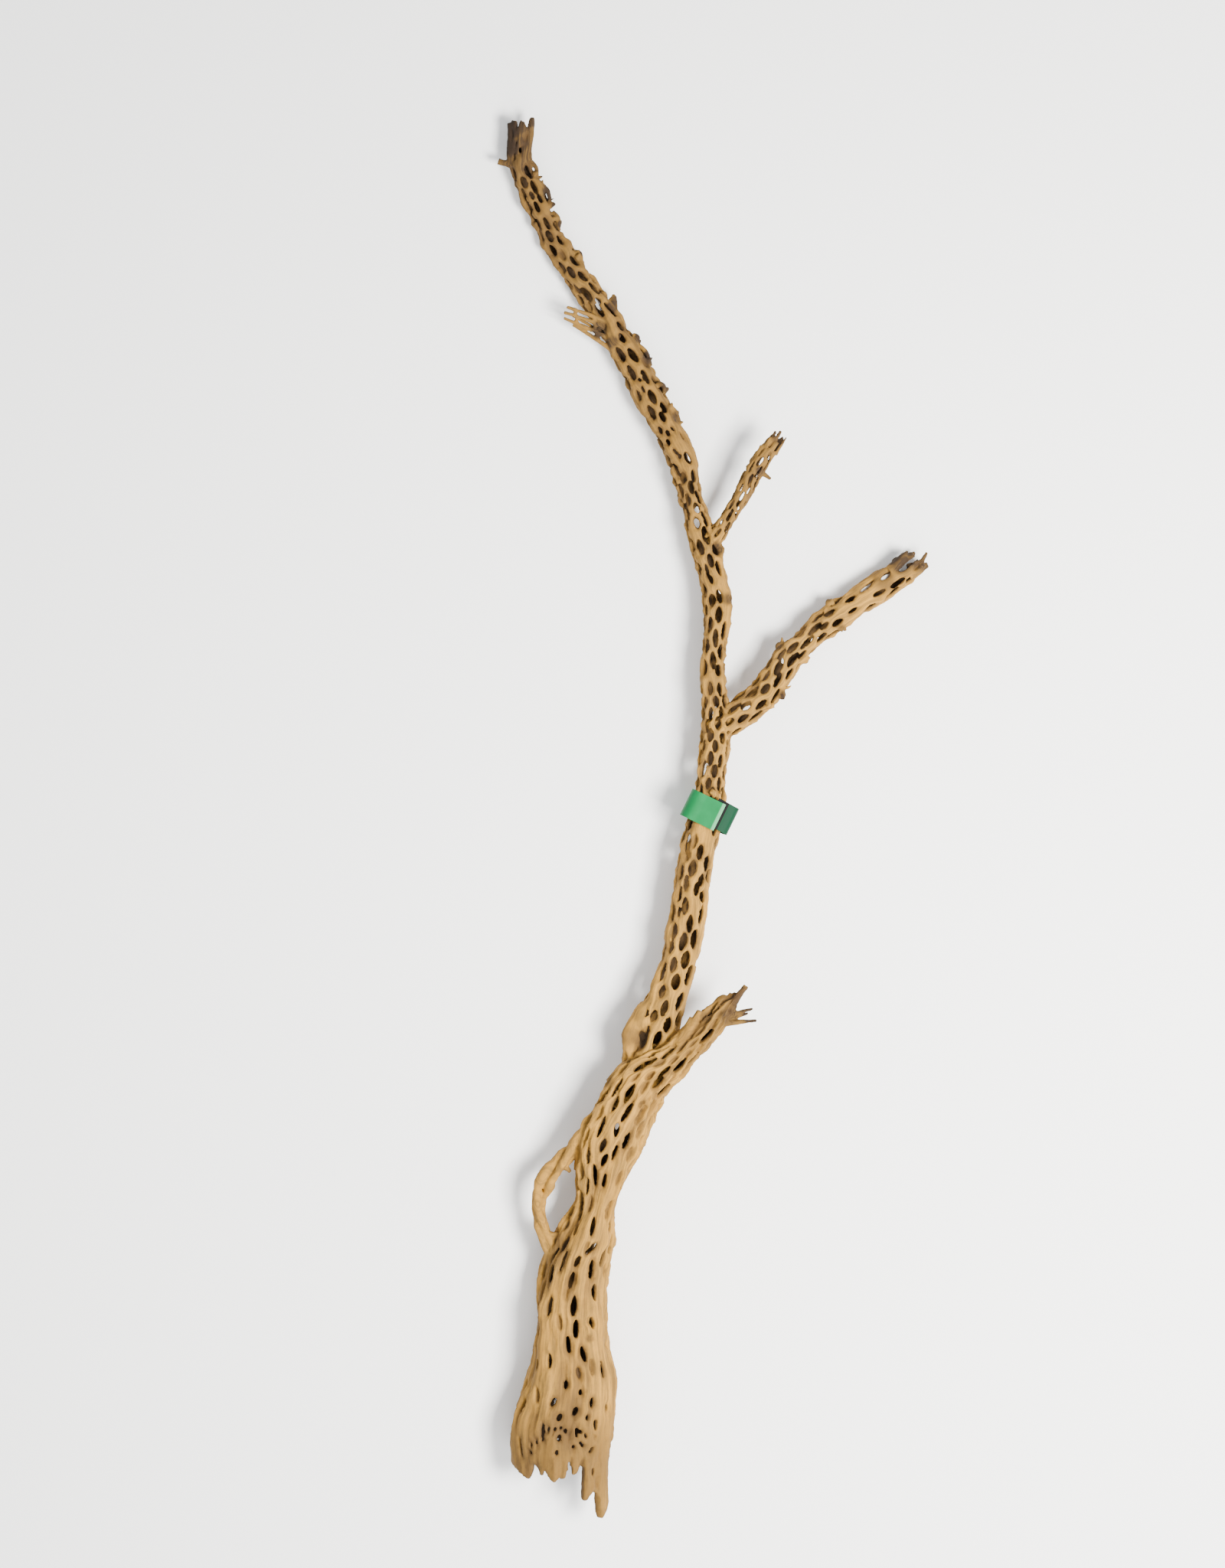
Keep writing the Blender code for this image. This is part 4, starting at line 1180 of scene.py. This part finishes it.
@dataclass
class Wood:
    """The whole skeleton of the branch, made in one skin and then parted under the paper band.

    Args:
        voxel: the mesh width of the fused skin.
        triangles: how many triangles each half keeps.
        band_cut: where along Y it is parted.
        floor: the least height of any point.
        lumps: the name, the width and the height of each kind of worn lump.
        stems: the hollow stems, in the order in which they are fused.
    """

    voxel: float = 0.0012
    triangles: int = 190_000
    band_cut: float = 0.002
    floor: float = 0.0002
    lumps: tuple[tuple[str, float, float], ...] = (
        ("broad_lumps", 0.016, 0.0022), ("small_lumps", 0.0050, 0.0010),
    )
    stems: list[NettedStem] = field(default_factory=list)

    STICK_TAPER = (1.5, 1.15, 1.0, 0.85)  # a stick's half thickness from its root to its tip
    SPLINTER_BOW = 0.06  # how far a splinter bows out, as a share of its length
    WALL_MIDDLE = 0.86  # where the middle of a wall lies, as a share of the stem's half width
    STEM_REACH = 0.09  # how far past the box of its middle line a stem's points may lie
    BEYOND = 4  # how strongly a stem gives up points past its ends
    GRAIN_STRETCH = 0.06  # how much slower the grain changes along a stem than round it
    GRAIN_STEP = 0.37  # how far apart the grains of two stems lie
    SKIN = 0.0012  # how deep the outer skin counts as sunlit
    WORN_LENGTH = 0.030  # how far from a broken end it is weathered
    END_WEAR = 0.55
    STAIN_REACH = 1.3  # how far past its named reach a stain fades out
    STAIN_EDGE = 1.8  # how sharp its edge is

    def __post_init__(self) -> None:
        """Names the four stems with the layout of their holes."""
        self.stems = [
            NettedStem(
                "stem", STEM_STATIONS,
                NetPattern(
                    columns=7, pitch=(0.0156, 0.0142), half_length=(0.0126, 0.0096),
                    half_width=(0.0062, 0.0055), twist=1.2, closed=0.05, back_closed=0.93,
                    roundness=(0.25, 0.75), bare=(0.0, 0.042),
                ),
                wall=0.0078, seed=SEED, counted=STEM_HOLES, swellings=STEM_SWELLINGS,
                root_tips=(0.006, 0.006), end_tips=(0.028, 0.004), worn=(False, True),
                slits=STEM_SLITS, flakes=STEM_FLAKES, end_outline=STEM_END,
            ),
            NettedStem(
                "stump", STUMP_STATIONS,
                NetPattern(
                    columns=11, pitch=(0.0235, 0.0165), half_length=(0.0100, 0.0145),
                    half_width=(0.0036, 0.0042), twist=-1.6, closed=0.55, back_closed=0.93,
                    bare=(0.086, 0.0),
                ),
                wall=0.0100, seed=SEED + 1, counted=STUMP_HOLES, swellings=STUMP_SWELLINGS,
                root_tips=(0.064, 0.004), end_tips=(0.002, 0.008), worn=(True, True),
                rim_depth=0.0042, relief=(0.0046, 0.0026, 0.0013), ridge_length=0.060,
                slits=STUMP_SLITS, root_outline=STUMP_ROOT,
            ),
            NettedStem(
                "long_branch", LONG_BRANCH_STATIONS,
                NetPattern(
                    columns=6, pitch=(0.0165, 0.0165), half_length=(0.0112, 0.0112),
                    half_width=(0.0053, 0.0050), twist=2.0, closed=0.06, back_closed=0.92,
                    roundness=(0.4, 0.5),
                ),
                wall=0.0070, seed=SEED + 2, root_tips=(0.002, 0.004), end_tips=(0.002, 0.008),
                slits=LONG_BRANCH_SLITS, flakes=LONG_BRANCH_FLAKES,
            ),
            NettedStem(
                "short_branch", SHORT_BRANCH_STATIONS,
                NetPattern(
                    columns=6, pitch=(0.0135, 0.0135), half_length=(0.0105, 0.0105),
                    half_width=(0.0027, 0.0027), twist=1.0, closed=0.0, back_closed=0.60,
                ),
                wall=0.0050, seed=SEED + 3, root_tips=(0.002, 0.004), end_tips=(0.006, 0.010),
                rim=0.0042, rim_depth=0.0024, inner_rim_depth=0.0014, relief=(0.0009, 0.0006, 0.0003),
                back_size=1.0, strand=0.0032,
            ),
        ]

    def make_limbs(self) -> list[bpy.types.Object]:
        """The loop, its tie, the splayed twig, and every splinter and torn rim."""
        rng = random.Random(SEED)
        limbs = twine("loop", LOOP, rng) + twine("tie", TIE, rng)
        for n, (points, half) in enumerate(zip(STICKS, STICK_HALVES)):
            radii = [half * taper * rng.uniform(0.9, 1.1) for taper in self.STICK_TAPER]
            limbs.append(sprig(f"stick_{n}", points, radii))
        for n, (start, end, root, tip) in enumerate(SPLINTERS):
            a, b = Vector(start), Vector(end)
            bow = Vector([rng.uniform(-1, 1) for _ in range(3)]) * (b - a).length * self.SPLINTER_BOW
            points = [a, a.lerp(b, 0.35) + bow, a.lerp(b, 0.7) - bow * 0.6, b]
            middle = (root + tip) / 2
            limbs.append(sprig(f"splinter_{n}", points, [root, middle * 1.1, middle * 0.9, tip]))
        for stem in self.stems:
            limbs.extend(stem.torn_rims(rng))
        return limbs

    def fuse(self) -> bpy.types.Object:
        """Joins all parts and gives them one worn skin.

        Returns:
            The whole wood as one fine mesh.
        """
        parts = [stem.roll() for stem in self.stems] + self.make_limbs()
        make_active(parts[0])
        for part in parts:
            part.select_set(True)
        bpy.ops.object.join()
        wood = bpy.context.object
        apply_modifier(wood, "REMESH", mode="VOXEL", voxel_size=self.voxel, adaptivity=0.0)
        for name, size, height in self.lumps:
            texture = bpy.data.textures.new(name, "CLOUDS")
            texture.noise_scale = size
            apply_modifier(
                wood, "DISPLACE", texture=texture, texture_coords="LOCAL", mid_level=0.5, strength=height
            )
        apply_modifier(wood, "SMOOTH", factor=0.5, iterations=1)
        log.info("fused wood: %d faces", len(wood.data.polygons))
        return wood

    def part_at_band(self, wood: bpy.types.Object) -> list[bpy.types.Object]:
        """Parts the wood under the band, so that each half keeps its fine detail.

        Args:
            wood: the whole wood.

        Returns:
            The upper and the lower half, each a closed skin.
        """
        halves = []
        for name, sign in (("wood_upper", 1), ("wood_lower", -1)):
            half = wood.copy()
            half.data = wood.data.copy()
            half.name = name
            bpy.context.scene.collection.objects.link(half)
            make_active(half)
            bpy.ops.object.mode_set(mode="EDIT")
            bpy.ops.mesh.select_all(action="SELECT")
            bpy.ops.mesh.bisect(
                plane_co=(0, self.band_cut, 0), plane_no=(0, 1, 0), use_fill=True,
                clear_inner=sign > 0, clear_outer=sign < 0,
            )
            bpy.ops.object.mode_set(mode="OBJECT")
            share = self.triangles / (2 * len(half.data.polygons))
            apply_modifier(half, "DECIMATE", ratio=min(share, 1.0), use_collapse_triangulate=True)
            halves.append(half)
            log.info("%s: %d triangles", name, len(half.data.polygons))
        bpy.data.objects.remove(wood)
        return halves

    def chart(self, half: bpy.types.Object) -> None:
        """Writes the grain, the depth and the darkening of each point for the finish to read. The depth gives
        painted shade in the holes, and the darkening is weathered ends and stains, with painted shade over
        the top end.
        """
        points = coordinates(half.data)
        grain = np.zeros_like(points)
        depth, wear_and_shade = np.zeros(len(points)), np.zeros(len(points))
        best = np.full(len(points), np.inf)
        for number, stem in enumerate(self.stems):
            lo = stem.path.middle.min(axis=0) - self.STEM_REACH
            hi = stem.path.middle.max(axis=0) + self.STEM_REACH
            near = np.nonzero(np.all((points > lo) & (points < hi), axis=1))[0]
            if not len(near):
                continue
            place, turn, out = stem.path.unroll(points[near])
            radius = np.interp(place, stem.place, stem.radius)
            gap = np.abs(out - self.WALL_MIDDLE) * radius
            beyond = np.maximum(stem.path.places[0] - place, place - stem.path.places[-1])
            gap += self.BEYOND * np.maximum(beyond, 0)
            closer = gap < best[near]
            rows = near[closer]
            best[rows] = gap[closer]
            place, turn, out, radius = place[closer], turn[closer], out[closer], radius[closer]
            bent = turn - stem.sample(stem.shift, place, turn) / radius
            core = float(np.mean(stem.radius))
            drift = place * self.GRAIN_STRETCH + number * self.GRAIN_STEP
            grain[rows] = np.stack([core * np.cos(bent), core * np.sin(bent), drift], axis=1)
            inside = (1 - out) * radius - self.SKIN
            depth[rows] = np.clip(inside / stem.wall, 0, 1)
            unbroken = stem.sample(stem.unbroken, place, turn)
            wear_and_shade[rows] = self.END_WEAR * np.clip(1 - unbroken / self.WORN_LENGTH, 0, 1)
        # Weathered stains, and painted shade over the top end
        for x, y, reach, strength in STAINS_AND_SHADE:
            away = np.hypot(points[:, 0] - x * MM, points[:, 1] - y * MM) / (self.STAIN_REACH * reach * MM)
            wear_and_shade = np.maximum(wear_and_shade, strength * np.clip(self.STAIN_EDGE * (1 - away), 0, 1))
        for name, values in (("depth", depth), ("wear_and_shade", wear_and_shade), ("grain", grain)):
            write_values(half, name, values)

    def build(self, finish: "WoodFinish") -> list[bpy.types.Object]:
        """Makes the wood, charts it and dresses it.

        Args:
            finish: how the wood looks.

        Returns:
            The finished halves.
        """
        halves = self.part_at_band(self.fuse())
        material = finish.material()
        for half in halves:
            points = coordinates(half.data)
            points[:, 2] = np.maximum(points[:, 2], self.floor)
            set_coordinates(half.data, points)
            self.chart(half)
            dress(half, material)
            make_active(half)
            bpy.ops.object.shade_smooth()
            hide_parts("driftwood")
            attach(half, "root")
        return halves


def dress(piece: bpy.types.Object, material: bpy.types.Material) -> None:
    """Gives a piece this material alone."""
    piece.data.materials.clear()
    piece.data.materials.append(material)


# Finishes


class Wire:
    """A socket of a material that can be written into sums: each sum adds its own Math node."""

    def __init__(self, tree: bpy.types.NodeTree, socket: bpy.types.NodeSocket) -> None:
        """Keeps the socket and the tree that it is in."""
        self.tree, self.socket = tree, socket

    def math(self, operation: str, *values: Any) -> "Wire":
        """A Math node with this operation on these values or wires."""
        return node(self.tree, "ShaderNodeMath", {"operation": operation}, dict(enumerate(values)))

    def __add__(self, other: Any) -> "Wire":
        """The sum of the two."""
        return self.math("ADD", self, other)

    __radd__ = __add__

    def __sub__(self, other: Any) -> "Wire":
        """This less the other."""
        return self.math("SUBTRACT", self, other)

    def __rsub__(self, other: Any) -> "Wire":
        """The other less this."""
        return self.math("SUBTRACT", other, self)

    def __mul__(self, other: Any) -> "Wire":
        """The two multiplied."""
        return self.math("MULTIPLY", self, other)

    __rmul__ = __mul__

    def at_most(self, other: Any) -> "Wire":
        """The smaller of the two."""
        return self.math("MINIMUM", self, other)

    def ramp(self, low: float, high: float) -> "Wire":
        """Rises smoothly from 0 at low to 1 at high."""
        return node(
            self.tree, "ShaderNodeMapRange", {"interpolation_type": "SMOOTHSTEP", "clamp": True},
            {"Value": self, "From Min": low, "From Max": high, "To Min": 0.0, "To Max": 1.0},
        )


def node(tree: bpy.types.NodeTree, kind: str, settings: dict[str, Any], values: dict[Any, Any],
         output: Any = 0) -> Wire:
    """Adds one node to a material.

    Args:
        tree: the material's nodes.
        kind: the node's type.
        settings: its own settings, set first.
        values: a value or a wire for each socket, by name or number.
        output: the name or number of the socket that is handed back.

    Returns:
        The output asked for.
    """
    made = tree.nodes.new(kind)
    for name, value in settings.items():
        setattr(made, name, value)
    for key, value in values.items():
        socket = made.inputs[key]
        if isinstance(value, Wire):
            tree.links.new(value.socket, socket)
        else:
            socket.default_value = value
    return Wire(tree, made.outputs[output])


def blend_colours(tree: bpy.types.NodeTree, share: Any, low: Any, high: Any) -> Wire:
    """Mixes two colours, each a wire or three numbers, by a share between 0 and 1."""
    made = tree.nodes.new("ShaderNodeMix")
    made.data_type, made.clamp_factor = "RGBA", True
    for number, value in ((0, share), (6, low), (7, high)):
        if isinstance(value, Wire):
            tree.links.new(value.socket, made.inputs[number])
        elif number == 0:
            made.inputs[number].default_value = value
        else:
            made.inputs[number].default_value = (*value, 1.0)
    return Wire(tree, made.outputs[2])


def noise(tree: bpy.types.NodeTree, vector: Wire, scale: float, detail: float, rough: float = 0.5) -> Wire:
    """Smooth noise between 0 and 1 over the places that the vector gives."""
    return node(
        tree, "ShaderNodeTexNoise", {},
        {"Vector": vector, "Scale": scale, "Detail": detail, "Roughness": rough}, "Fac",
    )


def new_material(name: str) -> tuple[bpy.types.Material, bpy.types.NodeTree, bpy.types.Node]:
    """A material with its tree and its shader."""
    material = bpy.data.materials.new(name)
    material.use_nodes = True
    return material, material.node_tree, material.node_tree.nodes["Principled BSDF"]


@dataclass(frozen=True)
class WoodFinish:
    """Dry, sun-bleached wood with fine grain, darker at its broken ends, and darker in its holes, partly its
    own wood and partly painted shade.

    Args:
        pale: the wood between its streaks.
        tan: the streaks.
        brown: fine dark grain, and painted shade on the slopes of the holes.
        hollow: the inside of the stems, its own darker wood with painted shade over it, and the darkest
            stained ends.
        weathered: stained and broken wood, and the painted shade over the top end.
        roughness: how matt the smoothest wood is.
        specular: how much light it mirrors.
        relief: how deep the grain is.
    """

    pale: Colour = (0.385, 0.192, 0.026)
    tan: Colour = (0.160, 0.086, 0.016)
    brown: Colour = (0.060, 0.030, 0.009)
    hollow: Colour = (0.018, 0.009, 0.0035)
    weathered: Colour = (0.028, 0.0150, 0.0058)
    roughness: float = 0.82
    specular: float = 0.25
    relief: float = 0.0014

    def material(self) -> bpy.types.Material:
        """Builds the material.

        Returns:
            The wood's material, which reads the grain, depth and darkening of each point, and paints shade in
            the holes by depth.
        """
        material, tree, shader = new_material("dry_wood")
        grain = node(tree, "ShaderNodeAttribute", {"attribute_name": "grain"}, {}, "Vector")
        depth = node(tree, "ShaderNodeAttribute", {"attribute_name": "depth"}, {}, "Fac")
        wear_and_shade = node(tree, "ShaderNodeAttribute", {"attribute_name": "wear_and_shade"}, {}, "Fac")
        place = node(tree, "ShaderNodeTexCoord", {}, {}, "Object")
        fine = noise(tree, grain, 900.0, 3.0, 0.6)
        streak = noise(tree, grain, 330.0, 3.0, 0.55)
        band = noise(tree, grain, 110.0, 2.0)
        mottle = noise(tree, place, 38.0, 3.0, 0.6)
        speck = noise(tree, place, 520.0, 2.0)
        bleached = streak.ramp(0.34, 0.66) * 0.75 + mottle.ramp(0.35, 0.7) * 0.25
        patchy = wear_and_shade * (0.75 + streak.ramp(0.40, 0.62) * 0.40 + mottle.ramp(0.45, 0.65) * 0.2)
        layers = (
            (bleached, self.pale),
            (band.ramp(0.56, 0.72) * 0.45, self.brown),
            (fine.ramp(0.56, 0.74) * 0.35, self.brown),
            (speck.ramp(0.62, 0.75) * 0.25, self.brown),
            # Stained and weathered wood, and painted shade over the top end
            (patchy.at_most(1.0), self.weathered),
            # Painted shade: browner the deeper a point lies, on the worn slopes of the holes
            (depth.ramp(0.0, 0.34) * 0.55, self.brown),
            # Deep inside the stems: darker wood with painted shade over it
            (depth.ramp(0.55, 0.95) * 0.85, self.hollow),
            ((wear_and_shade - 1.0) * 2.2, self.hollow),
        )
        tone: Any = self.tan
        for share, colour in layers:
            tone = blend_colours(tree, share, tone, colour)
        tree.links.new(tone.socket, shader.inputs["Base Color"])
        tree.links.new((self.roughness + fine * 0.12).socket, shader.inputs["Roughness"])
        shader.inputs["Specular IOR Level"].default_value = self.specular
        height = streak * 0.6 + fine * 0.3 + speck * 0.1
        bump = node(tree, "ShaderNodeBump", {}, {"Strength": 0.75, "Distance": self.relief, "Height": height})
        tree.links.new(bump.socket, shader.inputs["Normal"])
        return material


@dataclass(frozen=True)
class PaperFinish:
    """Smooth coated paper, green on its face and paler at its cut edge.

    Args:
        face: the paper's green.
        shade: the same where it is a little darker.
        under: painted shade on the stretch that runs under the free end.
        core: the cut edge.
        gap: painted shadow, a dark line beside the free end.
        roughness: how matt the smoothest paper is.
        specular: how much light it mirrors.
        relief: how deep its fibres are.
    """

    face: Colour = (0.0005, 0.132, 0.036)
    shade: Colour = (0.0005, 0.116, 0.031)
    under: Colour = (0.0008, 0.030, 0.012)
    core: Colour = (0.075, 0.26, 0.12)
    gap: Colour = (0.001, 0.001, 0.001)
    roughness: float = 0.55
    specular: float = 0.1
    relief: float = 0.0002

    def material(self) -> bpy.types.Material:
        """Builds the material.

        Returns:
            The paper's material, which reads where the cut edge, the painted shadow beside the free end and
            the stretch with painted shade lie.
        """
        material, tree, shader = new_material("green_paper")
        edge, gap, under = (
            node(tree, "ShaderNodeAttribute", {"attribute_name": name}, {}, "Fac")
            for name in ("edge", "gap", "under")
        )
        place = node(tree, "ShaderNodeTexCoord", {}, {}, "Object")
        mottle = noise(tree, place, 60.0, 3.0)
        fibre = noise(tree, place, 2200.0, 2.0)
        tone: Any = self.shade
        # Mottled green, painted shade under the free end, the pale cut edge, and painted shadow beside the
        # free end
        for share, colour in (
            (mottle.ramp(0.3, 0.7), self.face), (under, self.under), (edge, self.core), (gap, self.gap),
        ):
            tone = blend_colours(tree, share, tone, colour)
        shader.inputs["Specular IOR Level"].default_value = self.specular
        tree.links.new(tone.socket, shader.inputs["Base Color"])
        tree.links.new((self.roughness + fibre * 0.1).socket, shader.inputs["Roughness"])
        bump = node(tree, "ShaderNodeBump", {}, {"Strength": 0.15, "Distance": self.relief, "Height": fibre})
        tree.links.new(bump.socket, shader.inputs["Normal"])
        return material


# The paper band


@dataclass
class PaperBand:
    """A strip of paper wound once round the stem, its free end lying over itself on the front.

    Args:
        middle: the middle of the band.
        tilt: how far it is turned, seen from above.
        width: the width of the strip.
        thickness: how thick the paper is.
        bends: its cross-section, across and up from the middle, from the free end to the covered one.
        steps: how many lengths the strip is made of.
        rows: how many strips of mesh lie across it.
        skew: how far the strip slides along the stem on its way to the covered end.
        last_share: where the stretch that runs under the free end, which gets painted shade, begins, as a
            share of the length.
        gap_width: how wide the painted shadow beside the free end is.
        edge_steps: how many lengths the pale cut edge takes.
        sharp: the angle from which a bend is shaded as a crease.
    """

    middle: Point = (-0.007, 0.002, 0.052)
    tilt: float = math.radians(-26)
    width: float = 0.0375
    thickness: float = 0.0005
    bends: Table = (
        (0.0155, 0.0322), (0.0135, 0.0326), (0.0060, 0.0322), (-0.0100, 0.0312), (-0.0235, 0.0300),
        (-0.0295, 0.0245), (-0.0318, 0.0120), (-0.0310, -0.0020), (-0.0260, -0.0180), (-0.0150, -0.0270),
        (0.0000, -0.0290), (0.0150, -0.0272), (0.0250, -0.0185), (0.0300, -0.0030), (0.0320, 0.0120),
        (0.0335, 0.0200), (0.0315, 0.0250), (0.0240, 0.0284), (0.0140, 0.0296), (0.0040, 0.0300),
    )
    steps: int = 180
    rows: int = 6
    skew: float = 0.004
    last_share: float = 0.8
    gap_width: float = 0.0040
    edge_steps: int = 3
    sharp: float = math.radians(40)

    def build(self, finish: PaperFinish) -> bpy.types.Object:
        """Makes the band and dresses it.

        Args:
            finish: how the paper looks.

        Returns:
            The band.
        """
        deselect_all()
        bpy.ops.mesh.primitive_grid_add(x_subdivisions=self.steps, y_subdivisions=self.rows, size=1)
        band = bpy.context.object
        band.name = "paper_wrap"
        flat = coordinates(band.data)
        line = self.outline()
        n = np.rint((flat[:, 0] + 0.5) * self.steps).astype(int)
        across = flat[:, 1] * self.width + self.skew * (n / self.steps) ** 3
        points = np.stack([line[n, 0], across, line[n, 1]], axis=1)
        c, s = math.cos(self.tilt), math.sin(self.tilt)
        turned = np.stack(
            [points[:, 0] * c - points[:, 1] * s, points[:, 0] * s + points[:, 1] * c, points[:, 2]], axis=1
        )
        set_coordinates(band.data, turned + np.array(self.middle))
        last = n > self.last_share * self.steps
        # The painted shadow lies on the strip beside the free end
        beside = line[n, 0] < line[0, 0] + self.gap_width
        # The stretch under the free end gets painted shade
        marks = {"edge": n <= self.edge_steps, "gap": last & beside, "under": last & ~beside}
        for name, chosen in marks.items():
            write_values(band, name, chosen)
        make_active(band)
        bpy.ops.object.mode_set(mode="EDIT")
        bpy.ops.mesh.select_all(action="SELECT")
        bpy.ops.mesh.normals_make_consistent(inside=False)
        bpy.ops.object.mode_set(mode="OBJECT")
        apply_modifier(band, "SOLIDIFY", thickness=self.thickness, offset=0)
        dress(band, finish.material())
        bpy.ops.object.shade_smooth_by_angle(angle=self.sharp)
        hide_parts("paper_band")
        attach(band, "root")
        log.info("paper band: %d faces", len(band.data.polygons))
        return band

    def outline(self) -> Array:
        """The strip's cross-section as a smooth line of evenly spaced points."""
        bends = np.array(self.bends)
        gaps = np.concatenate([[0], np.cumsum(np.linalg.norm(np.diff(bends, axis=0), axis=1))])
        slopes = np.gradient(bends, gaps, axis=0)
        return smooth_line(bends, slopes, gaps, np.linspace(0, gaps[-1], self.steps + 1))


# The stage


class Lamp(NamedTuple):
    """One square soft light that faces the branch.

    Args:
        name: what it is called.
        place: where it hangs.
        size: how long each side of it is.
        power: how strong it is, in watts.
        colour: the colour of its light.
    """

    name: str
    place: Point
    size: float
    power: float
    colour: Colour


@dataclass(frozen=True)
class Stage:
    """The pale floor, the soft lights and the camera that looks straight down.

    Args:
        view_middle: the place that the camera looks at.
        view_height: how much of the floor it sees from top to bottom.
        focus_height: the height at which that holds.
        distance: how far above that height it hangs.
        sensor: the size of its sensor, in millimetres.
        floor_size: how long each side of the floor is.
        floor_colour: the floor's pale grey.
        sky: the colour of the light from all round.
        sky_strength: how strong that light is.
        lamps: the soft lights.
    """

    view_middle: Spot = (-0.132, 0.039)
    view_height: float = 2.048
    focus_height: float = 0.05
    distance: float = 4.5
    sensor: float = 36.0
    floor_size: float = 9.0
    floor_colour: Colour = (0.88, 0.88, 0.87)
    sky: Colour = (0.97, 0.98, 1.0)
    sky_strength: float = 0.85
    lamps: tuple[Lamp, ...] = (
        Lamp("key_light", (1.35, -0.45, 2.6), 1.0, 380.0, (1.0, 0.985, 0.95)),
        Lamp("fill_light", (-2.2, -0.3, 2.8), 2.6, 45.0, (0.96, 0.98, 1.0)),
        Lamp("low_light", (0.6, -2.4, 2.4), 2.0, 80.0, (1.0, 0.99, 0.97)),
    )

    def build(self) -> None:
        """Sets up the floor, the lights and the camera."""
        self.lay_floor()
        for lamp in self.lamps:
            self.hang(lamp)
        world = bpy.data.worlds.new("soft_sky")
        bpy.context.scene.world = world
        world.use_nodes = True
        background = world.node_tree.nodes["Background"]
        background.inputs["Color"].default_value = (*self.sky, 1.0)
        background.inputs["Strength"].default_value = self.sky_strength
        data = bpy.data.cameras.new("camera")
        data.sensor_width = self.sensor
        data.lens = self.sensor * self.distance / self.view_height
        camera = bpy.data.objects.new("camera", data)
        camera.location = (*self.view_middle, self.focus_height + self.distance)
        bpy.context.scene.collection.objects.link(camera)
        bpy.context.scene.camera = camera

    def lay_floor(self) -> None:
        """A wide pale floor under the branch."""
        deselect_all()
        bpy.ops.mesh.primitive_plane_add(size=self.floor_size)
        floor = bpy.context.object
        floor.name = "floor"
        material, _, shader = new_material("pale_floor")
        shader.inputs["Base Color"].default_value = (*self.floor_colour, 1.0)
        shader.inputs["Roughness"].default_value = 0.9
        dress(floor, material)

    def hang(self, lamp: Lamp) -> None:
        """Hangs one light and turns it to the branch."""
        data = bpy.data.lights.new(lamp.name, "AREA")
        data.size, data.energy, data.color = lamp.size, lamp.power, lamp.colour
        light = bpy.data.objects.new(lamp.name, data)
        light.location = lamp.place
        towards = Vector((*self.view_middle, 0)) - Vector(lamp.place)
        light.rotation_euler = towards.to_track_quat("-Z", "Y").to_euler()
        bpy.context.scene.collection.objects.link(light)


def main() -> None:
    """Builds the stage, the wood and the band."""
    logging.basicConfig(level=logging.INFO, format="%(name)s: %(message)s")
    Stage().build()
    for half in Wood().build(WoodFinish()):
        log.info("built %s", half.name)
    band = PaperBand().build(PaperFinish())
    log.info("built %s", band.name)


if __name__ == "__main__":
    main()
